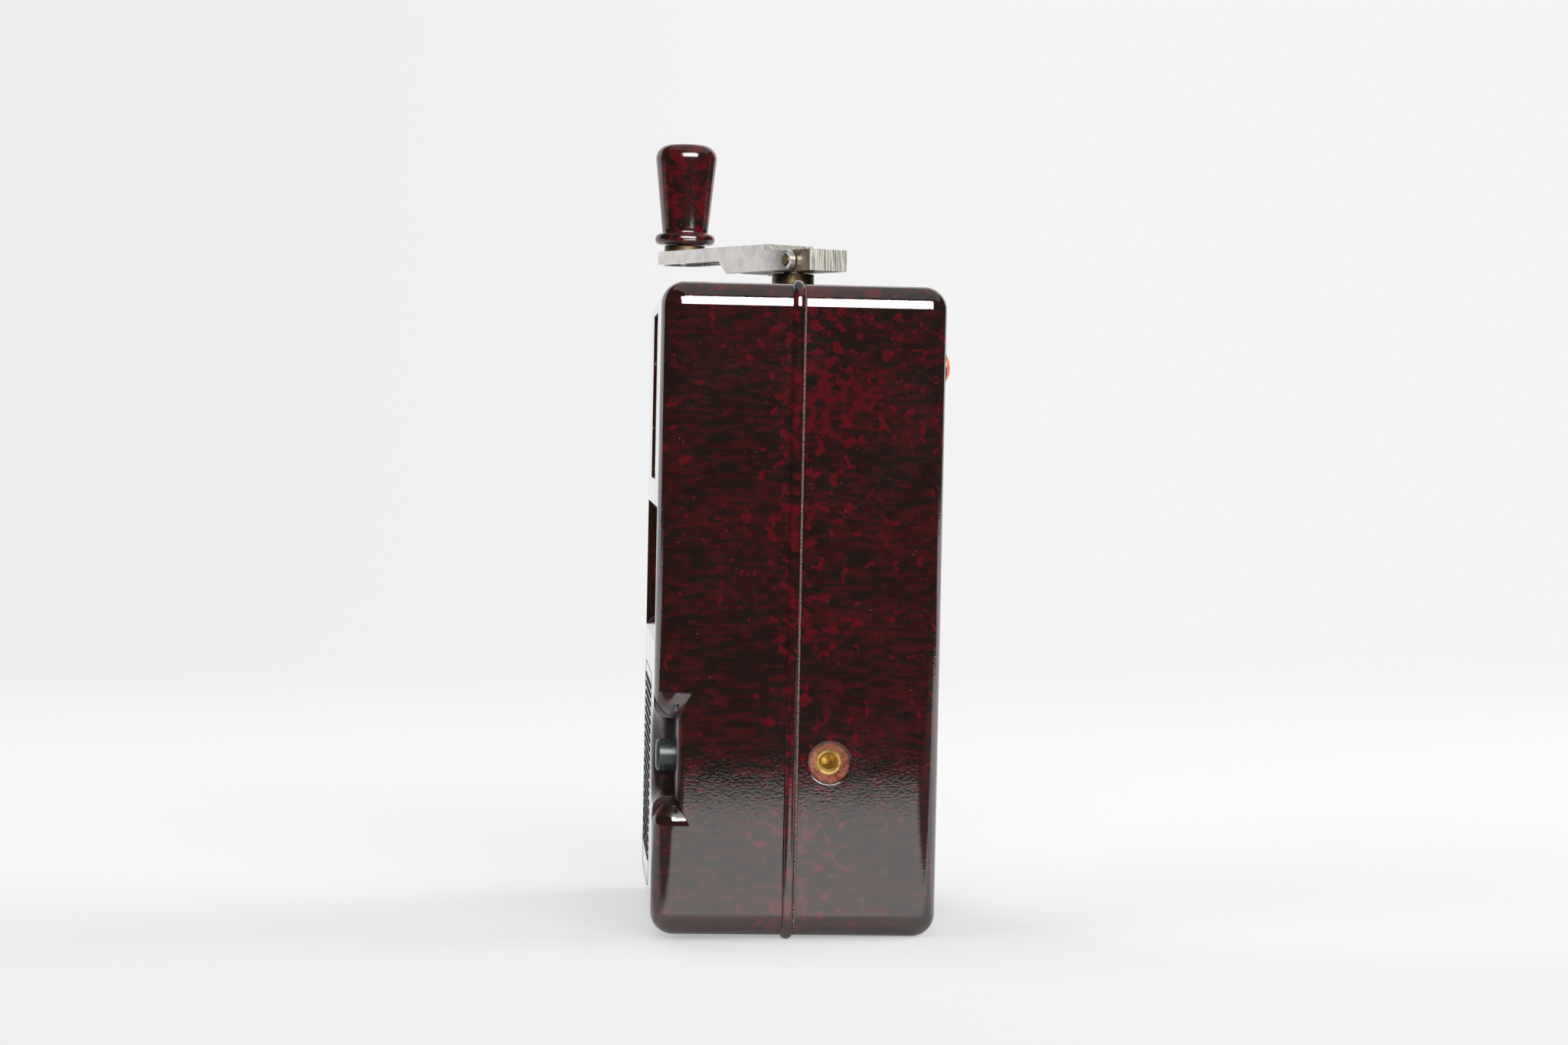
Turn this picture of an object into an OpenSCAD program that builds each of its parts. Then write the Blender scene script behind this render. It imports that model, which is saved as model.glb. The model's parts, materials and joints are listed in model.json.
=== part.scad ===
// Hand-cranked insulation tester in a two-part mottled moulded case.
// Front faces -Y, the base rests on Z = 0, the joint between the shells lies on Y = 0.

/* [Case] */
// Width of the case
case_w = 100; // [98:1:120]
// Depth of the case, both shells and the gasket
case_d = 75; // [74:1:90]
// Height of the shells
case_h = 171; // [166:1:190]
// Radius of every outer edge of the shells
edge_r = 6; // [5:0.5:8]
// Wall of the shells
wall = 3; // [2.5:0.1:3.4]
// Thickness of the gasket between the shells
gasket_t = 0.5; // [0.3:0.1:1]
// Width of the bead on the front shell's mating edge
bead_w = 3; // [2:0.1:4]
// How far the bead stands proud of the wall
bead_h = 1.1; // [0.8:0.1:1.5]
// How far the bead stands below the shells, where it is dressed flat
foot_h = 0.7; // [0.4:0.1:0.8]

/* [Case screws and seal] */
// Distance of the case screws from the side faces
screw_inset = 10; // [9:0.5:11]
// Height of the lower case screws
screw_low_z = 20; // [18:1:21]
// Distance of the upper case screws below the case top
screw_top_drop = 21; // [20:0.5:22]
// Radius of a case screw's shank
screw_r = 1.45; // [1.2:0.05:1.8]
// Radius of a case screw's head
screw_head_r = 2.8; // [2.4:0.1:3]
// Height of a case screw's head
screw_head_h = 2; // [1.5:0.1:2.5]
// Radius of the seal cup on the upper right screw
seal_r = 4.3; // [4:0.1:5]
// Height of the wax above its cup
seal_h = 1.2; // [0.8:0.1:1.6]

/* [Front face] */
// Distance of the meter window from the side faces
window_side = 8; // [7.5:0.5:14]
// Height of the meter window at the front face
window_h = 36; // [30:1:38]
// Height of the window's middle
window_z = 94.7; // [93:0.5:96]
// Width of the sunk name field
field_w = 34; // [20:1:60]
// Height of the sunk name field
field_h = 45; // [30:1:46]
// Distance of the name field's middle below the case top
field_drop = 29.7; // [29:0.1:31]
// Depth of the name field
field_depth = 1.6; // [1:0.1:2]
// Thickness of the plate in the name field
field_plate_t = 0.6; // [0.4:0.1:0.8]

/* [Button] */
// Distance of the push button from the right side face
button_inset = 11.8; // [11:0.2:13]
// Height of the push button
button_z = 47.2; // [45:0.5:50]
// Radius of the push button
button_r = 4.3; // [3.5:0.1:5]
// Travel of the push button
button_travel = 3; // [2:0.1:3.2]
// Half height of the finger scoop's floor
scoop_half = 10.2; // [9:0.2:11]
// Half height of the finger scoop where it leaves the side face
scoop_mouth = 17.4; // [15:0.2:18]
// Depth of the finger scoop's floor
scoop_depth = 6.1; // [5.5:0.1:6.5]
// Depth of the finger scoop's corners at the side face
scoop_corner = 9.7; // [9:0.1:10]
// Radius of the roll from the front face into the finger scoop
scoop_rim = 3.8; // [2:0.1:4]
// Radius of the roll from the finger scoop's floor to the side face
scoop_roll = 2; // [1:0.1:2.2]

/* [Sockets] */
// Height of the test sockets
socket_z = 46.7; // [44:0.5:52]
// Distance of the test sockets behind the case joint
socket_y = 8.5; // [8:0.5:12]
// Radius of a test socket's bore
socket_bore_r = 2; // [1.8:0.05:2.2]
// Outer radius of a test socket's sleeve
socket_r = 3.2; // [3:0.1:3.6]
// Length of a test socket's sleeve
socket_len = 15; // [14:0.5:18]
// Radius of the countersink round a socket
sink_r = 5.7; // [5:0.1:6.5]

/* [Crank] */
// Direction of the crank arm at rest, from +X towards +Y
crank_angle = 209; // [0:1:359]
// Distance of the knob from the crank shaft
crank_r = 58; // [57:0.5:70]
// Radius of the crank shaft
shaft_r = 3.5; // [3:0.1:4]
// Gap between the case top and the hub bar
hub_gap = 5.1; // [4.6:0.1:7]
// Height of the hub bar
hub_t = 5.8; // [5.4:0.1:7]
// Width of the hub bar
hub_w = 12; // [11:0.1:13]
// Distance of the hinge pin from the shaft, away from the arm
pin_off = 8; // [6.3:0.1:9]
// Radius of the hinge pin
pin_r = 1.5; // [1:0.1:1.6]
// Sheet thickness of the crank arm
arm_t = 1.6; // [1.2:0.1:1.8]
// Depth of the arm's sides at the knob end
arm_skirt = 3.8; // [3:0.1:5]
// Length of the knob
knob_h = 29; // [24:0.5:34]
// Largest radius of the knob
knob_r = 8.85; // [8:0.05:9.2]

/* [Gear train] */
// Teeth of the drive gear on the crank shaft
drive_teeth = 45; // [45:1:45]
// Teeth of the idler's pinion
idler_pinion_teeth = 15; // [15:1:15]
// Tooth module of the first stage
module_1 = 0.8; // [0.8:0.01:0.81]
// Teeth of the idler's wheel
idler_teeth = 64; // [64:1:64]
// Teeth of the armature's pinion
armature_teeth = 16; // [16:1:16]
// Face width of the drive gear and idler wheel
gear_w = 3; // [2:0.1:3.5]

/* [Generator] */
// Radius of the armature
armature_r = 12; // [10:0.2:12.4]
// Length of the armature's iron
armature_len = 32; // [26:1:33]
// Thickness of the field magnet's limbs
magnet_t = 9; // [6:0.2:9.5]
// Thickness of the frame plates
plate_t = 2; // [1.5:0.1:2.4]

/* [Meter] */
// Height of the pointer's pivot
pivot_z = 69.7; // [68:0.5:70]
// Length of the pointer from its pivot
pointer_len = 36; // [28:0.5:37]
// Angle that the pointer sweeps
pointer_sweep = 84; // [60:2:88]
// Radius of the meter's core
core_r = 7; // [5:0.1:7.2]

/* [Hidden] */
$fn = 64;

// Clearances
run_gap = 0.05;      // shaft in its bearing, on the radius
slide_gap = 0.3;     // sliding and swinging pieces
seat_gap = 0.05;     // piece in its own seat, on the radius
tooth_gap = 0.14;    // backlash of a meshing pair at the pitch circle
cut = 1;             // how far a cutting body reaches past what it cuts

// Case planes
half_w = case_w / 2;
half_d = case_d / 2;
half_gasket = gasket_t / 2;
shell_z0 = foot_h;
shell_z1 = foot_h + case_h;
shell_mid = foot_h + case_h / 2;
inner_r = edge_r - wall;
front_in = -half_d + wall;
rear_in = half_d - wall;
side_in = half_w - wall;

// Case screws
screw_x = half_w - screw_inset;
screw_zs = [foot_h + screw_low_z, shell_z1 - screw_top_drop];
column_r = screw_r + 2.6;
counterbore_depth = 3.6;
counterbore_r = screw_head_r + 0.35;
insert_r = screw_r + 0.9;
insert_len = 8;
screw_head_y = half_d - counterbore_depth;
screw_tip_y = -half_gasket - insert_len;

// Front face
window_w = case_w - 2 * window_side;
field_z = shell_z1 - field_drop;
glass_t = 2;
glass_margin = 2;
reveal = wall;
opening_w = window_w - 2 * reveal;
opening_h = window_h - 2 * reveal;
glass_w = window_w - 2;
glass_h = window_h + 2 * glass_margin - reveal;
retainer_t = 0.8;
glass_back = front_in + glass_t;
retainer_back = glass_back + retainer_t;
post_r = 2.5;
retainer_post_x = 22;
retainer_post_dz = glass_h / 2 + post_r + 0.4;
small_screw_r = 0.9;
small_head_r = 1.7;
small_head_h = 1;
small_screw_len = 3.5;
pilot_len = small_screw_len - retainer_t + 0.4;

// Meter, from the glass backwards
scale_y = glass_back + 2.7;
scale_t = 0.6;
frame_y = scale_y + scale_t;
frame_t = 1.5;
frame_back = frame_y + frame_t;
scale_w = window_w + 4;
scale_bottom = window_z - window_h / 2 - 0.5;
scale_top = window_z + window_h / 2 + 2;
frame_w = 72;
meter_post_x = 33;
meter_post_r = 3;
meter_post_zs = [window_z - window_h / 2 - 5.5, window_z + window_h / 2 + 7.5];
meter_head_h = 1.4;
movement_len = 10;
movement_back = frame_back + movement_len;
coil_gap = 0.5;
coil_t = 1.4;
coil_w = 2.4;
coil_in = core_r + coil_gap;
coil_out = coil_in + coil_t;
pole_r = coil_out + coil_gap + 0.1;
pole_out = pole_r + 5;
limb_t = 6;
limb_x = pole_out;
magnet_bottom = pivot_z - pole_out - 9;
pole_half_h = pole_r * 0.78;
coil_front = frame_back - 0.6 - coil_t;
coil_back = movement_back + 0.6 + coil_t;
staff_r = 0.7;
bridge_t = 1.3;
bridge_front = front_in + 0.4;
bridge_half = 13;
bridge_h = 7;
foot_r = 1.5;
rear_bridge_y = movement_back + 5;
jewel_r = 1.5;
pointer_y = scale_y - 1.6;
pointer_t = 0.5;
pointer_taper = 6;
pointer_tail = 8;
pointer_rest = pointer_sweep / 2;
spring_strip = 0.25;
spring_turns = 4;
spring_in = 1.6;
spring_pitch = 0.7;
bracket_w = 3;

// Button and its contacts
button_x = half_w - button_inset;
scoop_floor = -half_d + scoop_depth;
pocket_wall = 2.5;
flare_r = scoop_mouth - scoop_half;
roll_reach = scoop_half + scoop_roll * flare_r / (scoop_corner - scoop_depth);
pocket_back = -half_d + scoop_corner + pocket_wall;
pocket_half = scoop_mouth + pocket_wall;
pocket_in = button_x - scoop_half - pocket_wall;
button_front = -half_d + 0.9;
button_hole_r = button_r + slide_gap;
flange_r = button_r + 1.4;
flange_t = 1.5;
button_stem_r = 1.8;
spring_r = button_stem_r + 1.1;
spring_wire = 0.35;
spring_curls = 5;
block_y = pocket_back + slide_gap + flange_t + 6.5;
block_t = 6;
stem_back = block_y + block_t - 0.2;
block_w = 14;
block_h = 30;
blade_t = 0.4;
block_post_r = 3.5;
block_post_dz = 11;
spring_len = block_y - (pocket_back + slide_gap + flange_t);
spring_pitch_y = (spring_len - 2 * spring_wire) / spring_curls;
echo(button_spring_self_gap_mm = spring_pitch_y - 2 * spring_wire);

// Sockets
boss_r = 6;
boss_len = 7;
sink_depth = 2.6;
socket_out = half_w - sink_depth;
socket_in = socket_out - socket_len;
socket_blind = 1.2;
mouth_r = 2.6;
mouth_depth = 0.6;
boss_in = half_w - wall - boss_len;
nut_t = 2.4;
nut_r = 5;

// Seal
seal_lip = 0.3;
seal_dome = 9;

// Crank
bar_z0 = shell_z1 + hub_gap;
bar_z1 = bar_z0 + hub_t;
pin_z = (bar_z0 + bar_z1) / 2;
bar_tail = pin_off + 9.4;
bar_head = 17.5;
web_z0 = bar_z1 + 0.25;
web_z1 = web_z0 + arm_t;
cheek_gap = 0.25;
arm_in = hub_w / 2 + cheek_gap;
arm_out = arm_in + arm_t;
cheek_r = hub_t / 2 - 0.1;
web_start = 10.4 - pin_off;
step_in = 22.5;
step_out = 27;
swoop_len = 6;
swoop_mid = 2.5;
swoop_lift = 0.6;
bush_r = 5.8;
bush_neck_r = 4.9;
bush_lip = 2;
bush_top = bar_z0 - 0.4;
bush_bore = shaft_r + run_gap;
hub_pin_r = 1;
ferrule_r = 5.9;
ferrule_h = 1.9;
knob_z = web_z1 + ferrule_h + 0.2;
spindle_r = 2.5;
spindle_head_r = 4;
spindle_head_h = 1.6;
knob_sink = 2.2;
knob_seat = knob_z + knob_h - knob_sink;
ring_r = 1.65;
neck_r = knob_r - 2.25;
dome_r = 4;

// Gear train, down from the case top
top_drop = 9.7;
top_plate_z = shell_z1 - top_drop - plate_t;
drive_z = top_plate_z - 4 - gear_w;
pinion_extra = 1;
idler_z = drive_z - 8 - gear_w;
middle_plate_z = idler_z - 2 - plate_t;
gen_h = 54;
bottom_plate_z = middle_plate_z - gen_h - plate_t;
stage_c = (drive_teeth + idler_pinion_teeth) * module_1 / 2;
module_2 = 2 * stage_c / (idler_teeth + armature_teeth);
yoke_gap = 1;
yoke_t = 8;
limb_len = 13.5;
gen_y = rear_in - yoke_gap - yoke_t - limb_len;
idler_x = sqrt(stage_c * stage_c - gen_y * gen_y / 4);
idler_y = gen_y / 2;
idler_dir = atan2(idler_y, idler_x);
armature_dir = atan2(gen_y - idler_y, -idler_x);
idler_r = 2;
armature_shaft_r = 2.5;
shaft_bottom = drive_z - 1.5;
hub_boss_r = 6;

// Generator
core_z0 = bottom_plate_z + plate_t + 3;
core_z1 = core_z0 + armature_len;
air_gap = 0.4;
shoe_r = armature_r + air_gap;
limb_in = shoe_r + 3.6;
limb_out = limb_in + magnet_t;
magnet_z0 = bottom_plate_z + plate_t;
magnet_z1 = core_z1 + 2;
yoke_y1 = rear_in - yoke_gap;
yoke_y0 = yoke_y1 - yoke_t;
limb_y0 = gen_y - 11;
commutator_r = 6;
commutator_z0 = core_z1 + 4;
commutator_len = 6;
slot_w = 13;
web_half = 4;
brush_w = 4;
brush_len = 7;
holder_t = 1.5;
pillar_x = 30;
pillar_r = 3;
pillar_rear_y = rear_in - 5.5;
pillar_front_y = -17;
lower_front_y = -2;
plate_half = pillar_x + 5;
plate_rear = rear_in - 1.5;
plate_front = pillar_front_y - 5;
bottom_half = side_in - 3;
bottom_front = lower_front_y - 4;
shelf_in = bottom_half - 7;
shelf_h = 7;
shelf_y0 = 5;
chassis_screw_x = shelf_in + 3.5;
chassis_screw_ys = [shelf_y0 + 6, rear_in - 7];
chassis_screw_r = 1.4;
chassis_head_r = 2.6;
chassis_head_h = 2;
chassis_screw_len = 5.5;

// Resistor board
board_y = rear_in - 6;
board_t = 1.6;
board_w = 60;
board_z0 = shell_z0 + 10;
board_h = 46;
board_boss_r = 3;
board_boss_x = board_w / 2 - 4;
board_boss_zs = [board_z0 + 4, board_z0 + board_h - 4];
resistor_r = 2.6;
resistor_len = 22;
resistor_count = 4;
resistor_first = 8;
resistor_pitch = 10;

// A bar of radius r along Y
module rod_y(r, y0, y1) translate([0, y0, 0]) rotate([-90, 0, 0]) cylinder(r = r, h = y1 - y0);

// A bar of radius r along X
module rod_x(r, x0, x1) translate([x0, 0, 0]) rotate([0, 90, 0]) cylinder(r = r, h = x1 - x0);

// A block between two corners
module block(a, b) translate(a) cube(b - a);

// Copies a piece to the left and right
module both_sides() {
    children();
    mirror([1, 0, 0]) children();
}

module quarter_disc(r) intersection() {
    circle(r);
    square(r);
}

module round_rect(w, h, r) {
    square([w - 2 * r, h], center = true);
    square([w, h - 2 * r], center = true);
    for (x = [-1, 1], y = [-1, 1]) translate([x * (w / 2 - r), y * (h / 2 - r)]) circle(r);
}

// Half of a rounded box: flat at Z = 0, rounded by r on every other edge
module half_box(w, h, d, r) {
    linear_extrude(d - r) round_rect(w, h, r);
    translate([0, 0, d - r]) {
        linear_extrude(r) square([w - 2 * r, h - 2 * r], center = true);
        for (s = [0, 1]) mirror([0, s, 0])
            translate([r - w / 2, h / 2 - r, 0]) rotate([90, 0, 90]) linear_extrude(w - 2 * r) quarter_disc(r);
        for (s = [0, 1]) mirror([s, 0, 0])
            translate([w / 2 - r, h / 2 - r, 0]) rotate([90, 0, 0]) linear_extrude(h - 2 * r) quarter_disc(r);
        for (s = [0, 1], t = [0, 1]) mirror([s, 0, 0]) mirror([0, t, 0])
            translate([w / 2 - r, h / 2 - r, 0]) rotate_extrude(angle = 90) quarter_disc(r);
    }
}

// Stands a half box on the case joint, facing the front
module case_half() translate([0, -half_gasket, shell_mid]) rotate([90, 0, 0])
    half_box(case_w, case_h, half_d - half_gasket, edge_r);

module case_hollow() translate([0, cut, shell_mid]) rotate([90, 0, 0])
    half_box(case_w - 2 * wall, case_h - 2 * wall, half_d - wall + cut, inner_r);

// Cross-section of the bead: outwards along x, away from the joint along y
module bead_profile() intersection() {
    translate([bead_h - bead_w / 2 - 0.1, bead_w / 2]) circle(bead_w / 2 + 0.1);
    translate([-0.8, 0]) square([bead_h + 1.8, bead_w + 1]);
}

module bead() translate([0, -half_gasket, shell_mid]) rotate([90, 0, 0]) {
    for (s = [0, 1]) mirror([0, s, 0])
        translate([edge_r - half_w, case_h / 2, 0]) rotate([90, 0, 90])
            linear_extrude(case_w - 2 * edge_r) bead_profile();
    for (s = [0, 1]) mirror([s, 0, 0])
        translate([half_w, case_h / 2 - edge_r, 0]) rotate([90, 0, 0])
            linear_extrude(case_h - 2 * edge_r) bead_profile();
    for (s = [0, 1], t = [0, 1]) mirror([s, 0, 0]) mirror([0, t, 0])
        translate([half_w - edge_r, case_h / 2 - edge_r, 0])
            rotate_extrude(angle = 90) translate([edge_r, 0]) bead_profile();
}

// A window whose four sides slope inwards through the wall
module splayed_window() translate([0, 0, window_z]) intersection() {
    rotate([90, 0, 0]) translate([0, 0, half_d]) mirror([0, 0, 1]) rotate([90, 0, 0])
        linear_extrude(window_h + 2 * cut, center = true) splay(window_w / 2);
    rotate([90, 0, 0]) translate([0, 0, half_d]) mirror([0, 0, 1]) rotate([90, 0, 90])
        linear_extrude(window_w + 2 * cut, center = true) splay(window_h / 2);
}

// Half-width a at the face, less by the reveal at the back of the wall
module splay(a) polygon([
    [-a - cut, -cut], [a + cut, -cut], [a - reveal, reveal], [a - reveal, reveal + cut],
    [reveal - a, reveal + cut], [reveal - a, reveal]
]);

// The finger scoop: a round-ended trough with a rolled rim that opens at the side, flared above and below
module scoop() translate([button_x, 0, button_z]) {
    rod_y(scoop_half, -half_d - cut, scoop_floor);
    block([0, -half_d - cut, -scoop_half], [button_inset + cut, scoop_floor, scoop_half]);
    translate([0, -half_d, 0]) rotate([-90, 0, 0]) rotate_extrude() mirror([1, -1]) scoop_lip();
    for (s = [0, 1]) mirror([0, 0, s]) {
        translate([0, -half_d, 0]) rotate([90, 0, 90]) linear_extrude(button_inset + cut) scoop_lip();
        scoop_flare();
    }
    floor_roll();
}

// Section of the rolled rim: depth below the front face, distance from the trough's middle
module scoop_lip() difference() {
    translate([-cut, 0]) square([scoop_rim + cut, scoop_half + scoop_rim]);
    translate([scoop_rim, scoop_half + scoop_rim]) circle(scoop_rim);
}

// What the roll takes off the edge between the trough's floor and the side face
module floor_roll() translate([button_inset - scoop_roll, scoop_floor, 0]) difference() {
    block([0, -cut, -roll_reach], [scoop_roll + cut, scoop_roll, roll_reach]);
    translate([0, scoop_roll, -roll_reach - cut]) cylinder(r = scoop_roll, h = 2 * roll_reach + 2 * cut);
}

// One flared end: a wall that rolls outwards to the side face, with its foot falling away to the corner
module scoop_flare() translate([button_inset - flare_r, 0, 0]) difference() {
    rotate([90, 0, 90]) linear_extrude(flare_r + cut) polygon([
        [-half_d - cut, 0], [scoop_floor, 0], [scoop_floor, scoop_half],
        [scoop_corner - half_d, scoop_mouth], [-half_d - cut, scoop_mouth]
    ]);
    flare_roll();
}

// The wall's roll runs straight along the side face, then turns with the case's rounded front edge
module flare_roll() translate([0, 0, scoop_mouth]) {
    rod_y(flare_r, edge_r - half_d, pocket_back);
    intersection() {
        rod_y(flare_r, -half_d - 2 * cut, pocket_back);
        block([-2 * flare_r, -half_d - 3 * cut, -2 * flare_r],
            [flare_r - edge_r, pocket_back + cut, 2 * flare_r]);
    }
    translate([flare_r - edge_r, edge_r - half_d, 0]) rotate_extrude() intersection() {
        translate([edge_r - flare_r, 0]) circle(flare_r);
        translate([0, -flare_r]) square([edge_r, 2 * flare_r]);
    }
}

module at_screws() for (x = [-screw_x, screw_x], z = screw_zs) translate([x, 0, z]) children();

module at_meter_posts() for (x = [-meter_post_x, meter_post_x], z = meter_post_zs)
    translate([x, 0, z]) children();

module at_retainer_posts() for (x = [-retainer_post_x, retainer_post_x], s = [-1, 1])
    translate([x, 0, window_z + s * retainer_post_dz]) children();

module front_shell() color([0.17, 0.06, 0.05]) difference() {
    union() {
        difference() {
            case_half();
            case_hollow();
        }
        bead();
        at_screws() rod_y(column_r, front_in - cut, -half_gasket);
        at_meter_posts() rod_y(meter_post_r, front_in - cut, scale_y);
        at_retainer_posts() rod_y(post_r, front_in - cut, glass_back);
        block([pocket_in, front_in - cut, button_z - pocket_half],
            [side_in + cut, pocket_back, button_z + pocket_half]);
        for (s = [-1, 1]) translate([button_x, 0, button_z + s * block_post_dz])
            rod_y(block_post_r, pocket_back - cut, block_y);
    }
    splayed_window();
    block([-field_w / 2, -half_d - cut, field_z - field_h / 2],
        [field_w / 2, field_depth - half_d, field_z + field_h / 2]);
    scoop();
    translate([button_x, 0, button_z]) rod_y(button_hole_r, -half_d - cut, pocket_back + cut);
    at_screws() rod_y(insert_r, -half_gasket - insert_len - cut, cut);
    at_retainer_posts() rod_y(small_screw_r + seat_gap, glass_back - pilot_len, glass_back + cut);
    at_meter_posts() rod_y(small_screw_r + seat_gap, scale_y - pilot_len, scale_y + cut);
    translate([0, 0, shell_z1 - wall - cut]) cylinder(r = bush_neck_r + seat_gap, h = wall + 2 * cut);
    translate([0, 0, shell_z1]) cylinder(r = bush_r + slide_gap, h = bead_h + cut);
    block([-half_w - cut, -half_d, -bead_h - cut], [half_w + cut, cut, 0]);
}

module rear_shell() color([0.2, 0.06, 0.05]) difference() {
    union() {
        difference() {
            mirror([0, 1, 0]) case_half();
            mirror([0, 1, 0]) case_hollow();
        }
        at_screws() rod_y(column_r, half_gasket, rear_in + cut);
        both_sides() {
            translate([0, socket_y, socket_z]) rod_x(boss_r, boss_in, side_in + cut);
            block([shelf_in, shelf_y0, bottom_plate_z - shelf_h], [side_in + cut, rear_in + cut, bottom_plate_z]);
        }
        for (x = [-board_boss_x, board_boss_x], z = board_boss_zs) translate([x, 0, z])
            rod_y(board_boss_r, board_y + board_t, rear_in + cut);
    }
    at_screws() {
        rod_y(screw_r + 0.15, -cut, half_d + cut);
        rod_y(counterbore_r, screw_head_y, half_d + cut);
    }
    both_sides() translate([0, socket_y, socket_z]) {
        rod_x(socket_r + seat_gap, boss_in - cut, half_w + cut);
        translate([socket_out, 0, 0]) rotate([0, 90, 0])
            cylinder(r1 = socket_r, r2 = sink_r, h = sink_depth + 0.001);
    }
    both_sides() for (y = chassis_screw_ys) translate([chassis_screw_x, y, bottom_plate_z - chassis_screw_len])
        cylinder(r = chassis_screw_r + seat_gap, h = chassis_screw_len + cut);
    translate([0, 0, shell_z1 - wall - cut]) cylinder(r = bush_neck_r + seat_gap, h = wall + 2 * cut);
}

module case_gasket() color([0.72, 0.66, 0.55]) difference() {
    translate([0, half_gasket, shell_mid]) rotate([90, 0, 0]) linear_extrude(gasket_t) difference() {
        round_rect(case_w - 0.1, case_h - 0.1, edge_r);
        round_rect(case_w - 2 * wall, case_h - 2 * wall, inner_r);
    }
    translate([0, 0, shell_z1 - wall - cut]) cylinder(r = bush_neck_r + seat_gap, h = wall + 2 * cut);
}

module case_screws() color("silver") at_screws() difference() {
    union() {
        rod_y(screw_r, screw_tip_y, screw_head_y);
        rod_y(screw_head_r, screw_head_y, screw_head_y + screw_head_h);
    }
    block([-screw_head_r - cut, screw_head_y + screw_head_h - 0.9, -0.35],
        [screw_head_r + cut, screw_head_y + screw_head_h + cut, 0.35]);
}

module screw_inserts() color([0.75, 0.6, 0.3]) at_screws() difference() {
    rod_y(insert_r - seat_gap, -half_gasket - insert_len - cut + 0.1, -half_gasket);
    rod_y(screw_r + seat_gap, -half_gasket - insert_len - 2 * cut, cut);
}

module at_seal() translate([screw_x, 0, screw_zs[1]]) children();

module seal_cup() color([0.72, 0.58, 0.3]) at_seal() difference() {
    union() {
        rod_y(counterbore_r - seat_gap, screw_head_y + screw_head_h, half_d + 0.1);
        rod_y(seal_r, half_d, half_d + seal_lip);
    }
    rod_y(counterbore_r - 0.5, screw_head_y, half_d + seal_lip + cut);
}

module wax_seal() color([0.7, 0.22, 0.1]) at_seal() {
    rod_y(counterbore_r - 0.5 - seat_gap, screw_head_y + screw_head_h, half_d + 2 * seal_lip);
    translate([0, half_d + seal_lip, 0]) rotate([-90, 0, 0]) rotate_extrude() intersection() {
        translate([0, seal_h - seal_dome]) circle(seal_dome);
        square([seal_r - 0.4, seal_h]);
    }
}

module name_plate() color([0.06, 0.06, 0.06])
    block([0.2 - field_w / 2, field_depth - half_d - field_plate_t, field_z - field_h / 2 + 0.2],
        [field_w / 2 - 0.2, field_depth - half_d, field_z + field_h / 2 - 0.2]);

module meter_glass() color([0.8, 0.9, 0.95, 0.4])
    block([-glass_w / 2, front_in, window_z - glass_h / 2], [glass_w / 2, glass_back, window_z + glass_h / 2]);

module glass_retainer() color([0.5, 0.5, 0.5]) difference() {
    union() {
        block([-glass_w / 2, glass_back, window_z - glass_h / 2],
            [glass_w / 2, retainer_back, window_z + glass_h / 2]);
        at_retainer_posts() rod_y(post_r, glass_back, retainer_back);
        for (x = [-retainer_post_x, retainer_post_x])
            block([x - post_r, glass_back, window_z - retainer_post_dz],
                [x + post_r, retainer_back, window_z + retainer_post_dz]);
    }
    block([-opening_w / 2 - 0.5, glass_back - cut, window_z - opening_h / 2 - 0.5],
        [opening_w / 2 + 0.5, retainer_back + cut, window_z + opening_h / 2 + 0.5]);
    at_retainer_posts() rod_y(small_screw_r + 0.1, glass_back - cut, retainer_back + cut);
}

module scale_plate() color([0.92, 0.9, 0.82]) difference() {
    block([-scale_w / 2, scale_y, scale_bottom], [scale_w / 2, frame_y, scale_top]);
    translate([0, 0, pivot_z]) rod_y(pole_r + 0.4, scale_y - cut, frame_y + cut);
}

module meter_frame() color([0.75, 0.62, 0.32]) difference() {
    union() {
        block([-frame_w / 2, frame_y, meter_post_zs[0] - 3.5], [frame_w / 2, frame_back, meter_post_zs[1] + 3.5]);
        block([-limb_x - limb_t, frame_y, magnet_bottom], [limb_x + limb_t, frame_back, pivot_z]);
        at_meter_posts() rod_y(meter_post_r, scale_y, frame_back);
    }
    translate([0, 0, pivot_z]) rod_y(pole_r + 0.4, frame_y - cut, frame_back + cut);
    at_meter_posts() rod_y(small_screw_r + 0.1, scale_y - cut, frame_back + cut);
}

// A small cheese-head screw whose head rests on the plane y
module small_screw(y, len) {
    rod_y(small_screw_r, y - len, y);
    difference() {
        rod_y(small_head_r, y, y + small_head_h);
        block([-small_head_r - cut, y + 0.5, -0.2], [small_head_r + cut, y + small_head_h + cut, 0.2]);
    }
}

module meter_screws() color("silver") {
    at_retainer_posts() small_screw(retainer_back, small_screw_len);
    at_meter_posts() small_screw(frame_back, frame_back - scale_y + pilot_len - 0.4);
}

module meter_magnet() color([0.35, 0.1, 0.09]) {
    for (s = [0, 1]) mirror([s, 0, 0])
        block([limb_x, frame_back, magnet_bottom + limb_t], [limb_x + limb_t, movement_back, pivot_z + pole_half_h]);
    block([-limb_x - limb_t, frame_back, magnet_bottom], [limb_x + limb_t, movement_back, magnet_bottom + limb_t]);
}

module meter_poles() color([0.6, 0.6, 0.58]) for (s = [0, 1]) mirror([s, 0, 0]) difference() {
    block([2.5, frame_back, pivot_z - pole_half_h], [limb_x, movement_back, pivot_z + pole_half_h]);
    translate([0, 0, pivot_z]) rod_y(pole_r, frame_back - cut, movement_back + cut);
}

module meter_core() color([0.55, 0.55, 0.55]) translate([0, 0, pivot_z])
    rod_y(core_r, frame_back + 0.2, movement_back - 0.2);

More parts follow.
